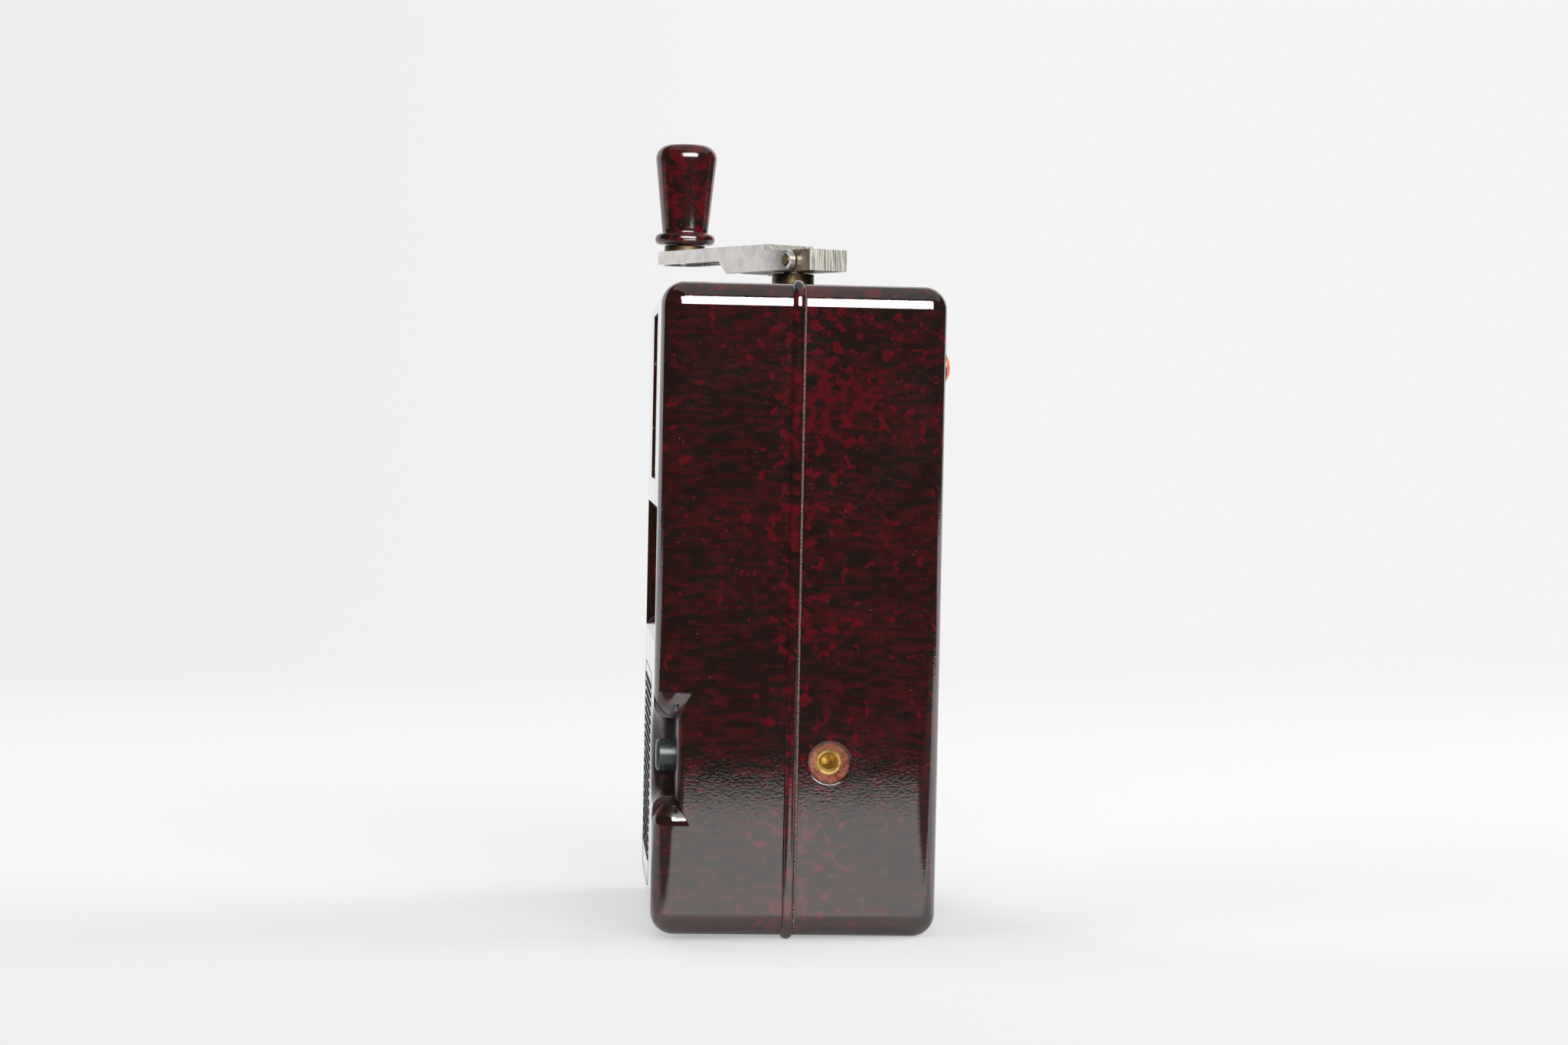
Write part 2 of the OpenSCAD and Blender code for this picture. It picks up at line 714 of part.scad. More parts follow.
module core_bracket() color([0.75, 0.62, 0.32]) difference() {
    block([-bracket_w / 2, frame_back + 3, magnet_bottom + limb_t], [bracket_w / 2, movement_back - 3, pivot_z]);
    translate([0, 0, pivot_z]) rod_y(core_r, frame_back, movement_back);
}

// Puts a piece on the pointer's axis, turned to the rest position
module on_pivot() translate([0, 0, pivot_z]) rotate([0, -pointer_rest, 0]) children();

module moving_coil() color([0.7, 0.35, 0.15]) on_pivot() difference() {
    block([-coil_out, coil_front, -coil_w / 2], [coil_out, coil_back, coil_w / 2]);
    block([-coil_in, coil_front + coil_t, -coil_w], [coil_in, coil_back - coil_t, coil_w]);
}

module coil_staffs() color("silver") on_pivot() {
    rod_y(staff_r, bridge_front + bridge_t + 0.2, coil_front);
    rod_y(staff_r, coil_back, rear_bridge_y - 0.2);
}

module pointer() color([0.1, 0.1, 0.1]) on_pivot() difference() {
    union() {
        rod_y(2, pointer_y - pointer_t / 2, pointer_y + pointer_t / 2);
        translate([0, pointer_y, 0]) rotate([90, 0, 0]) linear_extrude(pointer_t, center = true)
            polygon([[-0.9, 0], [-0.45, pointer_len - pointer_taper], [-0.25, pointer_len], [0.25, pointer_len],
                [0.45, pointer_len - pointer_taper], [0.9, 0], [1, -pointer_tail], [-1, -pointer_tail]]);
    }
    rod_y(staff_r + seat_gap, pointer_y - cut, pointer_y + cut);
}

module bridge_strip(y) difference() {
    block([-bridge_half - 3, y, pivot_z - bridge_h / 2], [bridge_half + 3, y + bridge_t, pivot_z + bridge_h / 2]);
    translate([0, 0, pivot_z]) rod_y(jewel_r, y - cut, y + bridge_t + cut);
}

module front_bridge() color([0.75, 0.62, 0.32]) {
    bridge_strip(bridge_front);
    both_sides() translate([bridge_half, 0, pivot_z]) rod_y(foot_r, bridge_front + bridge_t, frame_y);
}

module rear_bridge() color([0.75, 0.62, 0.32]) {
    bridge_strip(rear_bridge_y);
    both_sides() translate([bridge_half, 0, pivot_z]) rod_y(foot_r, movement_back, rear_bridge_y);
}

module jewel_screws() color("silver") translate([0, 0, pivot_z]) {
    rod_y(jewel_r - seat_gap, bridge_front, bridge_front + bridge_t + 0.1);
    rod_y(jewel_r - seat_gap, rear_bridge_y - 0.1, rear_bridge_y + bridge_t);
}

// Flat spiral strip from the collet outwards
function spiral(r0, turns, pitch, side) = [
    for (i = [0 : 24 * turns]) let (a = i * 15, r = r0 + pitch * i / 24 + side)
        [r * cos(a), r * sin(a)]
];

module hairspring(y) translate([0, y, pivot_z]) rotate([90, 0, 0]) linear_extrude(0.6, center = true)
    polygon(concat(
        spiral(spring_in, spring_turns, spring_pitch, 0),
        [for (p = [24 * spring_turns : -1 : 0]) spiral(spring_in, spring_turns, spring_pitch, spring_strip)[p]]));

module hairsprings() color([0.75, 0.6, 0.3]) {
    hairspring(rear_bridge_y - 1.2);
    translate([spring_in + spring_turns * spring_pitch, rear_bridge_y - 1.5, pivot_z - 0.4])
        cube([0.6, 1.5, 0.8]);
}

module push_button() color([0.05, 0.05, 0.05]) translate([button_x, 0, button_z]) {
    rod_y(button_r, button_front + 1.2, pocket_back + slide_gap + 0.1);
    translate([0, button_front + 1.2, 0]) rotate([90, 0, 0]) rotate_extrude() {
        quarter_edge(button_r, 1.2);
    }
    rod_y(flange_r, pocket_back + slide_gap, pocket_back + slide_gap + flange_t);
    rod_y(button_stem_r, pocket_back + slide_gap + flange_t - 0.1, stem_back - button_travel);
}

// Half-section of a disc of height h with a round edge of radius h
module quarter_edge(r, h) {
    square([r - h, h]);
    translate([r - h, 0]) quarter_disc(h);
}

// One ring of a helical wire and the joined wire as a whole
function helix_ring(i, turns, per, big, wire, pitch) = let (
    a = 360 * i / per, rise = pitch / (2 * PI * big), n = sqrt(1 + rise * rise),
    t = [-sin(a) / n, cos(a) / n, rise / n], e = [cos(a), sin(a), 0], b = cross(t, e))
    [for (k = [0 : 5]) [big * cos(a), big * sin(a), pitch * i / per]
        + wire * (cos(60 * k) * e + sin(60 * k) * b)];

module helix(turns, big, wire, pitch) {
    per = 8;
    last = turns * per;
    points = [for (i = [0 : last]) each helix_ring(i, turns, per, big, wire, pitch)];
    sides = [for (i = [0 : last - 1], k = [0 : 5]) let (a = 6 * i + k, b = 6 * i + (k + 1) % 6)
        each [[a, b + 6, b], [a, a + 6, b + 6]]];
    caps = [for (k = [1 : 4]) each [[0, k, k + 1], [6 * last, 6 * last + k + 1, 6 * last + k]]];
    polyhedron(points, concat(sides, caps));
}

module button_spring() color("silver")
    translate([button_x, pocket_back + slide_gap + flange_t + spring_wire, button_z]) rotate([-90, 0, 0])
        helix(spring_curls, spring_r, spring_wire, spring_pitch_y);

module contact_block() color([0.35, 0.2, 0.1]) difference() {
    block([button_x - block_w / 2, block_y, button_z - block_h / 2],
        [button_x + block_w / 2, block_y + block_t, button_z + block_h / 2]);
    translate([button_x, 0, button_z]) rod_y(button_stem_r + slide_gap, block_y - cut, block_y + block_t + cut);
}

module contact_blades() color([0.8, 0.65, 0.35]) translate([button_x, block_y + block_t, button_z]) {
    block([-3, 0, -12], [3, blade_t, 3]);
    block([-3, 0, 6], [3, 1.5, 12]);
    block([-3, 1.5 - blade_t, -3], [3, 1.5, 12]);
}

module socket() translate([0, socket_y, socket_z]) difference() {
    rod_x(socket_r, socket_in, socket_out);
    rod_x(socket_bore_r, socket_in + socket_blind, socket_out + cut);
    translate([socket_out - mouth_depth, 0, 0]) rotate([0, 90, 0])
        cylinder(r1 = socket_bore_r, r2 = mouth_r, h = mouth_depth + 0.001);
}

module right_socket() color([0.78, 0.6, 0.3]) socket();

module left_socket() color([0.78, 0.6, 0.3]) mirror([1, 0, 0]) socket();

module socket_nuts() color([0.78, 0.6, 0.3]) both_sides() translate([0, socket_y, socket_z]) difference() {
    translate([boss_in - nut_t, 0, 0]) rotate([0, 90, 0]) cylinder(r = nut_r, h = nut_t, $fn = 6);
    rod_x(socket_r + seat_gap, boss_in - nut_t - cut, boss_in + cut);
}

// Turns a piece from the arm's own axis to the crank's rest direction
module on_crank() rotate([0, 0, crank_angle]) children();

// A bar of radius r across the arm
module rod_across(r, half) rotate([90, 0, 0]) cylinder(r = r, h = 2 * half, center = true);

module crank_shaft() color([0.6, 0.6, 0.58]) difference() {
    translate([0, 0, shaft_bottom]) cylinder(r = shaft_r, h = bar_z1 - shaft_bottom);
    on_crank() translate([0, 0, pin_z]) rod_across(hub_pin_r, shaft_r + cut);
}

module top_bush() color([0.45, 0.33, 0.16]) difference() {
    union() {
        translate([0, 0, shell_z1]) cylinder(r = bush_r, h = bush_top - shell_z1);
        translate([0, 0, shell_z1 - wall]) cylinder(r = bush_neck_r, h = wall);
        translate([0, 0, shell_z1 - wall - bush_lip]) cylinder(r = bush_r, h = bush_lip);
    }
    translate([0, 0, shell_z1 - wall - bush_lip - cut])
        cylinder(r = bush_bore, h = bush_top - shell_z1 + wall + bush_lip + 2 * cut);
}

module hub_bar() color([0.72, 0.7, 0.62]) on_crank() difference() {
    block([-bar_tail, -hub_w / 2, bar_z0], [bar_head, hub_w / 2, bar_z1]);
    translate([0, 0, bar_z0 - cut]) cylinder(r = shaft_r + 0.01, h = hub_t + 2 * cut);
    translate([0, 0, pin_z]) rod_across(hub_pin_r, hub_w);
    translate([-pin_off, 0, pin_z]) rod_across(pin_r, hub_w);
}

module hub_pin() color("silver") on_crank() translate([0, 0, pin_z])
    rod_across(hub_pin_r - 0.01, hub_w / 2);

module hinge_pin() color("silver") on_crank() translate([-pin_off, 0, pin_z]) rod_across(pin_r - 0.01, arm_out + 0.3);

// Plan of the arm with half-width a, round at the knob
module arm_plan(a) {
    translate([-pin_off - 8, -a]) square([crank_r + pin_off + 8, 2 * a]);
    translate([crank_r, 0]) circle(a);
}

// Side view of the arm: the web on top, deep cheeks at the hinge, a shallow skirt at the knob
module arm_side() {
    translate([-pin_off, pin_z]) circle(cheek_r);
    polygon([
        [-pin_off, pin_z - cheek_r], [step_in, pin_z - cheek_r], [step_out, web_z1 - arm_skirt],
        [crank_r + arm_out + cut, web_z1 - arm_skirt], [crank_r + arm_out + cut, web_z1],
        [web_start, web_z1], [web_start - swoop_mid, pin_z + cheek_r + swoop_lift],
        [web_start - swoop_len, pin_z + cheek_r], [-pin_off, pin_z + cheek_r]
    ]);
}

module crank_arm() color([0.78, 0.78, 0.76]) on_crank() difference() {
    intersection() {
        translate([0, 0, bar_z0 - cut]) linear_extrude(web_z1 - bar_z0 + cut) arm_plan(arm_out);
        rotate([90, 0, 0]) linear_extrude(2 * arm_out + 2 * cut, center = true) arm_side();
    }
    translate([0, 0, bar_z0 - 2 * cut]) linear_extrude(web_z0 - bar_z0 + 2 * cut) arm_plan(arm_in);
    block([-pin_off - cheek_r - cut, -arm_in, bar_z0 - cut], [web_start, arm_in, web_z1 + cut]);
    translate([-pin_off, 0, pin_z]) rod_across(pin_r + run_gap, arm_out + cut);
    translate([crank_r, 0, web_z0 - cut]) cylinder(r = spindle_r - 0.01, h = arm_t + 2 * cut);
}

module knob_spindle() color("silver") on_crank() translate([crank_r, 0, 0]) {
    translate([0, 0, web_z0 - 1]) cylinder(r = spindle_r + 1.2, h = 1);
    translate([0, 0, web_z0]) cylinder(r = spindle_r - 0.01, h = arm_t);
    translate([0, 0, web_z1]) cylinder(r = spindle_r, h = knob_seat + slide_gap - web_z1);
    translate([0, 0, knob_seat + slide_gap]) cylinder(r = spindle_head_r, h = spindle_head_h);
}

module knob_ferrule() color([0.6, 0.48, 0.25]) on_crank() translate([crank_r, 0, web_z1]) difference() {
    cylinder(r = ferrule_r, h = ferrule_h);
    translate([0, 0, -cut]) cylinder(r = spindle_r + 0.02, h = ferrule_h + 2 * cut);
}

module knob_section() {
    grip_z0 = 2 * ring_r;
    grip_z1 = knob_h - dome_r;
    translate([knob_r - 0.15 - ring_r, ring_r]) circle(ring_r);
    square([knob_r - 0.15 - ring_r, 2 * ring_r]);
    polygon([[0, ring_r], [neck_r, ring_r], [neck_r, grip_z0], [knob_r, grip_z1], [0, grip_z1]]);
    translate([knob_r - dome_r, grip_z1]) quarter_disc(dome_r);
    translate([0, grip_z1]) square([knob_r - dome_r, dome_r]);
}

module crank_knob() color([0.25, 0.08, 0.06]) on_crank() translate([crank_r, 0, knob_z]) difference() {
    rotate_extrude() intersection() {
        knob_section();
        square([knob_r + cut, knob_h + cut]);
    }
    translate([0, 0, -cut]) cylinder(r = spindle_r + run_gap, h = knob_h + 2 * cut);
    translate([0, 0, knob_h - knob_sink]) cylinder(r = spindle_head_r + slide_gap, h = knob_sink + cut);
}

// Involute gear outline with short addendum and the given backlash
function roll(r, base) = tan(acos(base / r)) * 180 / PI - acos(base / r);

function flank_radii(teeth, m) = let (
    pitch = m * teeth / 2, base = pitch * cos(20), root = pitch - 1.25 * m, tip = pitch + 0.9 * m)
    root < base ? [root, base, (base + tip) / 2, tip] : [root, (root + tip) / 2, tip];

function gear_points(teeth, m) = let (
    pitch = m * teeth / 2, base = pitch * cos(20), radii = flank_radii(teeth, m),
    half = 90 / teeth - tooth_gap / 4 / pitch * 180 / PI + roll(pitch, base),
    angles = [for (r = radii) half - roll(max(r, base), base)],
    last = len(radii) - 1)
    [for (k = [0 : teeth - 1]) let (c = 360 * k / teeth) each concat(
        [for (i = [0 : last]) radii[i] * [cos(c - angles[i]), sin(c - angles[i])]],
        [for (i = [last : -1 : 0]) radii[i] * [cos(c + angles[i]), sin(c + angles[i])]])];

module gear(teeth, m, h, bore, turn) rotate([0, 0, turn]) difference() {
    linear_extrude(h) polygon(gear_points(teeth, m));
    translate([0, 0, -cut]) cylinder(r = bore, h = h + 2 * cut);
}

module drive_gear() color([0.78, 0.62, 0.3]) translate([0, 0, drive_z])
    gear(drive_teeth, module_1, gear_w, shaft_r + 0.01, idler_dir);

module idler_arbor() color("silver") translate([idler_x, idler_y, middle_plate_z])
    cylinder(r = idler_r, h = top_plate_z + plate_t - middle_plate_z);

module idler_pinion() color([0.6, 0.6, 0.58]) translate([idler_x, idler_y, drive_z - pinion_extra])
    gear(idler_pinion_teeth, module_1, gear_w + 2 * pinion_extra, idler_r + 0.01,
        idler_dir + 180 + 180 / idler_pinion_teeth);

module idler_wheel() color([0.78, 0.62, 0.3]) translate([idler_x, idler_y, idler_z]) {
    gear(idler_teeth, module_2, gear_w, idler_r + 0.01, armature_dir);
    translate([0, 0, gear_w]) difference() {
        cylinder(r = hub_boss_r, h = drive_z - pinion_extra - idler_z - gear_w);
        translate([0, 0, -cut]) cylinder(r = idler_r + 0.01, h = drive_z);
    }
}

module armature_pinion() color([0.6, 0.6, 0.58]) translate([0, gen_y, idler_z - pinion_extra])
    gear(armature_teeth, module_2, gear_w + 2 * pinion_extra, armature_shaft_r + 0.01,
        armature_dir + 180 + 180 / armature_teeth);

module armature_shaft() color("silver") translate([0, gen_y, bottom_plate_z])
    cylinder(r = armature_shaft_r, h = idler_z + gear_w + 2 * pinion_extra - bottom_plate_z);

module armature_slots(gap) both_sides() translate([0, 0, -cut])
    block([web_half - gap, -slot_w / 2 - gap, 0], [armature_r + cut, slot_w / 2 + gap, armature_len + 2 * cut]);

module armature_core() color([0.5, 0.5, 0.5]) translate([0, gen_y, core_z0]) difference() {
    cylinder(r = armature_r, h = armature_len);
    armature_slots(0);
    translate([0, 0, -cut]) cylinder(r = armature_shaft_r + 0.01, h = armature_len + 2 * cut);
}

module armature_winding() color([0.65, 0.32, 0.14]) translate([0, gen_y, core_z0]) both_sides() intersection() {
    block([web_half, -slot_w / 2, -1.5], [armature_r, slot_w / 2, armature_len + 1.5]);
    translate([0, 0, -cut * 2]) cylinder(r = armature_r - 0.6, h = armature_len + 4 * cut);
}

module commutator() color([0.75, 0.45, 0.25]) translate([0, gen_y, commutator_z0]) difference() {
    cylinder(r = commutator_r, h = commutator_len);
    translate([0, 0, -cut]) cylinder(r = armature_shaft_r + 0.01, h = commutator_len + 2 * cut);
    for (a = [0, 90]) rotate([0, 0, a])
        block([-commutator_r - cut, -0.4, 1], [commutator_r + cut, 0.4, commutator_len + cut]);
}

module brush_gear() color([0.35, 0.2, 0.1]) translate([0, gen_y, 0]) both_sides() difference() {
    block([commutator_r + 1.5, -brush_w / 2 - holder_t, commutator_z0 - 0.5],
        [commutator_r + 3 + brush_len, brush_w / 2 + holder_t, middle_plate_z]);
    block([commutator_r, -brush_w / 2, commutator_z0 + 1], [commutator_r + brush_len, brush_w / 2, commutator_z0 + 5]);
}

module brushes() color([0.12, 0.12, 0.12]) translate([0, gen_y, 0]) both_sides()
    block([commutator_r + run_gap, -brush_w / 2, commutator_z0 + 1],
        [commutator_r + brush_len, brush_w / 2, commutator_z0 + 5]);

module field_magnet() color([0.45, 0.1, 0.08]) {
    both_sides() block([limb_in, limb_y0, magnet_z0], [limb_out, yoke_y0, magnet_z1]);
    block([-limb_out, yoke_y0, magnet_z0], [limb_out, yoke_y1, magnet_z1]);
}

module pole_shoes() color([0.55, 0.55, 0.53]) translate([0, gen_y, 0]) both_sides() difference() {
    block([4, limb_y0 - gen_y, magnet_z0], [limb_in, gen_y - limb_y0, magnet_z1]);
    translate([0, 0, magnet_z0 - cut]) cylinder(r = shoe_r, h = magnet_z1 - magnet_z0 + 2 * cut);
}

module pillar_places(front_y) for (x = [-pillar_x, pillar_x], y = [front_y, pillar_rear_y])
    translate([x, y, 0]) children();

module idler_hole() translate([idler_x, idler_y, -cut]) cylinder(r = idler_r + run_gap, h = plate_t + 2 * cut);

module top_plate() color([0.75, 0.6, 0.3]) translate([0, 0, top_plate_z]) difference() {
    block([-plate_half, plate_front, 0], [plate_half, plate_rear, plate_t]);
    translate([0, 0, -cut]) cylinder(r = shaft_r + run_gap, h = plate_t + 2 * cut);
    idler_hole();
}

module middle_plate() color([0.75, 0.6, 0.3]) translate([0, 0, middle_plate_z]) difference() {
    block([-plate_half, plate_front, 0], [plate_half, plate_rear, plate_t]);
    idler_hole();
    translate([0, gen_y, -cut]) cylinder(r = armature_shaft_r + run_gap, h = plate_t + 2 * cut);
}

module bottom_plate() color([0.75, 0.6, 0.3]) translate([0, 0, bottom_plate_z]) difference() {
    block([-bottom_half, bottom_front, 0], [bottom_half, plate_rear, plate_t]);
    translate([0, gen_y, -cut]) cylinder(r = armature_shaft_r + run_gap, h = plate_t + 2 * cut);
    both_sides() for (y = chassis_screw_ys) translate([chassis_screw_x, y, -cut])
        cylinder(r = chassis_screw_r + 0.15, h = plate_t + 2 * cut);
}

module plate_pillars() color("silver") {
    pillar_places(pillar_front_y) translate([0, 0, middle_plate_z + plate_t])
        cylinder(r = pillar_r, h = top_plate_z - middle_plate_z - plate_t);
    pillar_places(lower_front_y) translate([0, 0, bottom_plate_z + plate_t])
        cylinder(r = pillar_r, h = gen_h);
}

module chassis_screws() color("silver") both_sides() for (y = chassis_screw_ys)
    translate([chassis_screw_x, y, bottom_plate_z]) {
        translate([0, 0, 0.3 - chassis_screw_len]) cylinder(r = chassis_screw_r, h = chassis_screw_len + plate_t - 0.3);
        translate([0, 0, plate_t]) cylinder(r = chassis_head_r, h = chassis_head_h);
    }

module resistor_board() color([0.4, 0.22, 0.1])
    block([-board_w / 2, board_y, board_z0], [board_w / 2, board_y + board_t, board_z0 + board_h]);

module resistors() color([0.55, 0.4, 0.25]) for (i = [0 : resistor_count - 1])
    translate([-resistor_len / 2, board_y - resistor_r, board_z0 + resistor_first + resistor_pitch * i])
        rod_x(resistor_r, 0, resistor_len);

front_shell();
rear_shell();
case_gasket();
case_screws();
screw_inserts();
seal_cup();
wax_seal();
name_plate();
meter_glass();
glass_retainer();
scale_plate();
meter_frame();
meter_screws();
meter_magnet();
meter_poles();
meter_core();
core_bracket();
moving_coil();
coil_staffs();
pointer();
front_bridge();
rear_bridge();
jewel_screws();
hairsprings();
push_button();
button_spring();
contact_block();
contact_blades();
right_socket();
left_socket();
socket_nuts();
crank_shaft();
top_bush();
hub_bar();
hub_pin();
hinge_pin();
crank_arm();
knob_spindle();
knob_ferrule();
crank_knob();
drive_gear();
idler_arbor();
idler_pinion();
idler_wheel();
armature_pinion();
armature_shaft();
armature_core();
armature_winding();
commutator();
brush_gear();
brushes();
field_magnet();
pole_shoes();
top_plate();
middle_plate();
bottom_plate();
plate_pillars();
chassis_screws();
resistor_board();
resistors();
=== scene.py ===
import bpy
import bmesh
import json
import math
import numpy as np
from mathutils import Matrix, Vector

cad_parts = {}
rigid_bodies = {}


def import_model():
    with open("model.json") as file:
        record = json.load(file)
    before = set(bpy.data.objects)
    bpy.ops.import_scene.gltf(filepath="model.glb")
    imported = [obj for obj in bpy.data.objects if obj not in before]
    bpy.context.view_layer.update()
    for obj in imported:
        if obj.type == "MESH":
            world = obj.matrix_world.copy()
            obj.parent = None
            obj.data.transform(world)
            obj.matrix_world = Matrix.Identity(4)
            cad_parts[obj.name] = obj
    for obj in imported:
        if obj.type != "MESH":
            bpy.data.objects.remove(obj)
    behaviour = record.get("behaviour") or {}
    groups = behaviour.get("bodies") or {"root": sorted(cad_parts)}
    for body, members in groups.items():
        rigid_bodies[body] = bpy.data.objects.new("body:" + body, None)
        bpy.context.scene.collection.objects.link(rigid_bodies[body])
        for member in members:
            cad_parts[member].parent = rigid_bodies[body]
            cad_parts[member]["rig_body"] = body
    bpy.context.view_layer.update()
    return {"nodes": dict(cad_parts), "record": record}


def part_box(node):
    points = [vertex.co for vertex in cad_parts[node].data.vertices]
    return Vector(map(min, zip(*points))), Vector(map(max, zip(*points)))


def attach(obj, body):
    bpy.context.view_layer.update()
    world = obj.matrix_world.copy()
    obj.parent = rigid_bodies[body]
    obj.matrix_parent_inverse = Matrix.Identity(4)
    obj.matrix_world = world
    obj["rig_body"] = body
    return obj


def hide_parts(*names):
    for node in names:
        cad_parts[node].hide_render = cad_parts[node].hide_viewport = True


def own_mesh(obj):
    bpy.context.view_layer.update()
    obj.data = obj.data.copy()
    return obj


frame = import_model()
nodes = frame["nodes"]
mm = 0.001
print("frame loaded", len(nodes))


def link(obj):
    bpy.context.scene.collection.objects.link(obj)
    return obj


def meshPiece(name, verts, faces, smooth=True):
    mesh = bpy.data.meshes.new(name)
    mesh.from_pydata(np.asarray(verts, float).tolist(), [], np.asarray(faces).tolist())
    mesh.update()
    if smooth:
        mesh.shade_smooth()
    else:
        mesh.shade_flat()
    return link(bpy.data.objects.new(name, mesh))


def gridFaces(rows, cols, closed=False):
    # quad (i, j) joins row i to i + 1 and column j to j + 1, the last column to the first when closed
    i, j = np.meshgrid(np.arange(rows - 1), np.arange(cols if closed else cols - 1), indexing="ij")
    k = (j + 1) % cols
    return np.stack([i * cols + j, i * cols + k, (i + 1) * cols + k, (i + 1) * cols + j], -1).reshape(-1, 4)


def setMaterial(obj, material):
    obj.data.materials.clear()
    obj.data.materials.append(material)


# Copies of CAD nodes: points merged, flat faces joined, sharp edges rounded

copies = {"merge": 2e-6, "flat": math.radians(0.6), "sharp": math.radians(32.0), "segments": 3}


def dressedCopy(name, width):
    mesh = nodes[name].data.copy()
    bm = bmesh.new()
    bm.from_mesh(mesh)
    bmesh.ops.remove_doubles(bm, verts=bm.verts, dist=copies["merge"])
    bmesh.ops.dissolve_limit(bm, angle_limit=copies["flat"], verts=bm.verts, edges=bm.edges)
    bm.to_mesh(mesh)
    bm.free()
    if "custom_normal" in mesh.attributes:
        mesh.attributes.remove(mesh.attributes["custom_normal"])
    mesh.shade_smooth()
    mesh.set_sharp_from_angle(angle=copies["sharp"])
    piece = link(bpy.data.objects.new(name + "_dressed", mesh))
    if width > 0:
        bevel = piece.modifiers.new("edges", "BEVEL")
        bevel.width = width
        bevel.segments = copies["segments"]
        bevel.limit_method = "ANGLE"
        bevel.angle_limit = copies["sharp"]
        bevel.use_clamp_overlap = True
        bevel.harden_normals = True
    even = piece.modifiers.new("evenNormals", "WEIGHTED_NORMAL")
    even.keep_sharp = True
    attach(piece, nodes[name]["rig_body"])
    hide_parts(name)
    return piece


# Shader helpers

def newMaterial(name):
    material = bpy.data.materials.new(name)
    material.use_nodes = True
    tree = material.node_tree
    return material, tree, tree.nodes["Principled BSDF"]


def add(tree, kind, **values):
    node = tree.nodes.new(kind)
    for key, value in values.items():
        setattr(node, key, value)
    return node


def feed(tree, source, target):
    if isinstance(source, bpy.types.NodeSocket):
        tree.links.new(source, target)
    else:
        target.default_value = source


def noise(tree, vector, scale, detail=3.0, rough=0.5, distortion=0.0):
    node = add(tree, "ShaderNodeTexNoise")
    feed(tree, vector, node.inputs["Vector"])
    node.inputs["Scale"].default_value = scale
    node.inputs["Detail"].default_value = detail
    node.inputs["Roughness"].default_value = rough
    node.inputs["Distortion"].default_value = distortion
    return node.outputs["Fac"]


def ramp(tree, value, low, high, outLow=0.0, outHigh=1.0):
    node = add(tree, "ShaderNodeMapRange", interpolation_type="SMOOTHSTEP")
    feed(tree, value, node.inputs["Value"])
    node.inputs["From Min"].default_value = low
    node.inputs["From Max"].default_value = high
    node.inputs["To Min"].default_value = outLow
    node.inputs["To Max"].default_value = outHigh
    return node.outputs["Result"]


def maths(tree, operation, a, b=0.0):
    node = add(tree, "ShaderNodeMath", operation=operation)
    feed(tree, a, node.inputs[0])
    feed(tree, b, node.inputs[1])
    return node.outputs[0]


def plus(tree, a, b):
    return maths(tree, "ADD", a, b)


def minus(tree, a, b):
    return maths(tree, "SUBTRACT", a, b)


def times(tree, a, b):
    return maths(tree, "MULTIPLY", a, b)


def weigh(tree, a, shareA, b, shareB):
    return plus(tree, times(tree, a, shareA), times(tree, b, shareB))


def axes(tree, vector):
    node = add(tree, "ShaderNodeSeparateXYZ")
    feed(tree, vector, node.inputs[0])
    return node.outputs


def voronoi(tree, vector, scale):
    # distance to the nearest of scattered points, in cells
    node = add(tree, "ShaderNodeTexVoronoi")
    feed(tree, vector, node.inputs["Vector"])
    node.inputs["Scale"].default_value = scale
    return node.outputs["Distance"]


def roundedEdge(tree, radius):
    node = add(tree, "ShaderNodeBevel", samples=4)
    node.inputs["Radius"].default_value = radius
    return node.outputs["Normal"]


def mixColour(tree, factor, a, b):
    node = add(tree, "ShaderNodeMix", data_type="RGBA")
    feed(tree, factor, node.inputs[0])
    feed(tree, a, node.inputs[6])
    feed(tree, b, node.inputs[7])
    return node.outputs[2]


def stretched(tree, vector, scale):
    node = add(tree, "ShaderNodeMapping")
    feed(tree, vector, node.inputs["Vector"])
    node.inputs["Scale"].default_value = scale
    return node.outputs["Vector"]


def objectCoords(tree):
    return add(tree, "ShaderNodeTexCoord").outputs["Object"]


def bump(tree, height, strength, distance, normal=None):
    node = add(tree, "ShaderNodeBump")
    feed(tree, height, node.inputs["Height"])
    if normal:
        tree.links.new(normal, node.inputs["Normal"])
    node.inputs["Strength"].default_value = strength
    node.inputs["Distance"].default_value = distance
    return node.outputs["Normal"]


def rgba(r, g, b):
    return (r, g, b, 1.0)


def newGroup(name, inputs, outputs):
    tree = bpy.data.node_groups.new(name, "ShaderNodeTree")
    for label, kind, value in inputs:
        socket = tree.interface.new_socket(label, in_out="INPUT", socket_type=kind)
        if value is not None:
            socket.default_value = value
    for label, kind in outputs:
        tree.interface.new_socket(label, in_out="OUTPUT", socket_type=kind)
    return tree, tree.nodes.new("NodeGroupInput"), tree.nodes.new("NodeGroupOutput")


def useGroup(tree, group, **values):
    node = add(tree, "ShaderNodeGroup", node_tree=group)
    for key, value in values.items():
        feed(tree, value, node.inputs[key])
    return node


# Crank's place: its direction at rest, its radius, and the ends of its hub bar and web along that direction

crank = {
    "angle": math.radians(209), "radius": 58 * mm, "tail": -17.4 * mm,
    "webStart": 2.4 * mm, "webLow": 182.7 * mm, "pin": -8.0 * mm,
}


# Mottled moulding: dark brown ground, dull red streaks along the depth, crimson flakes with torn edges.
# A noise is (scale, detail, roughness, distortion). An edge is a ramp's (low, high) and, if given, its ends.

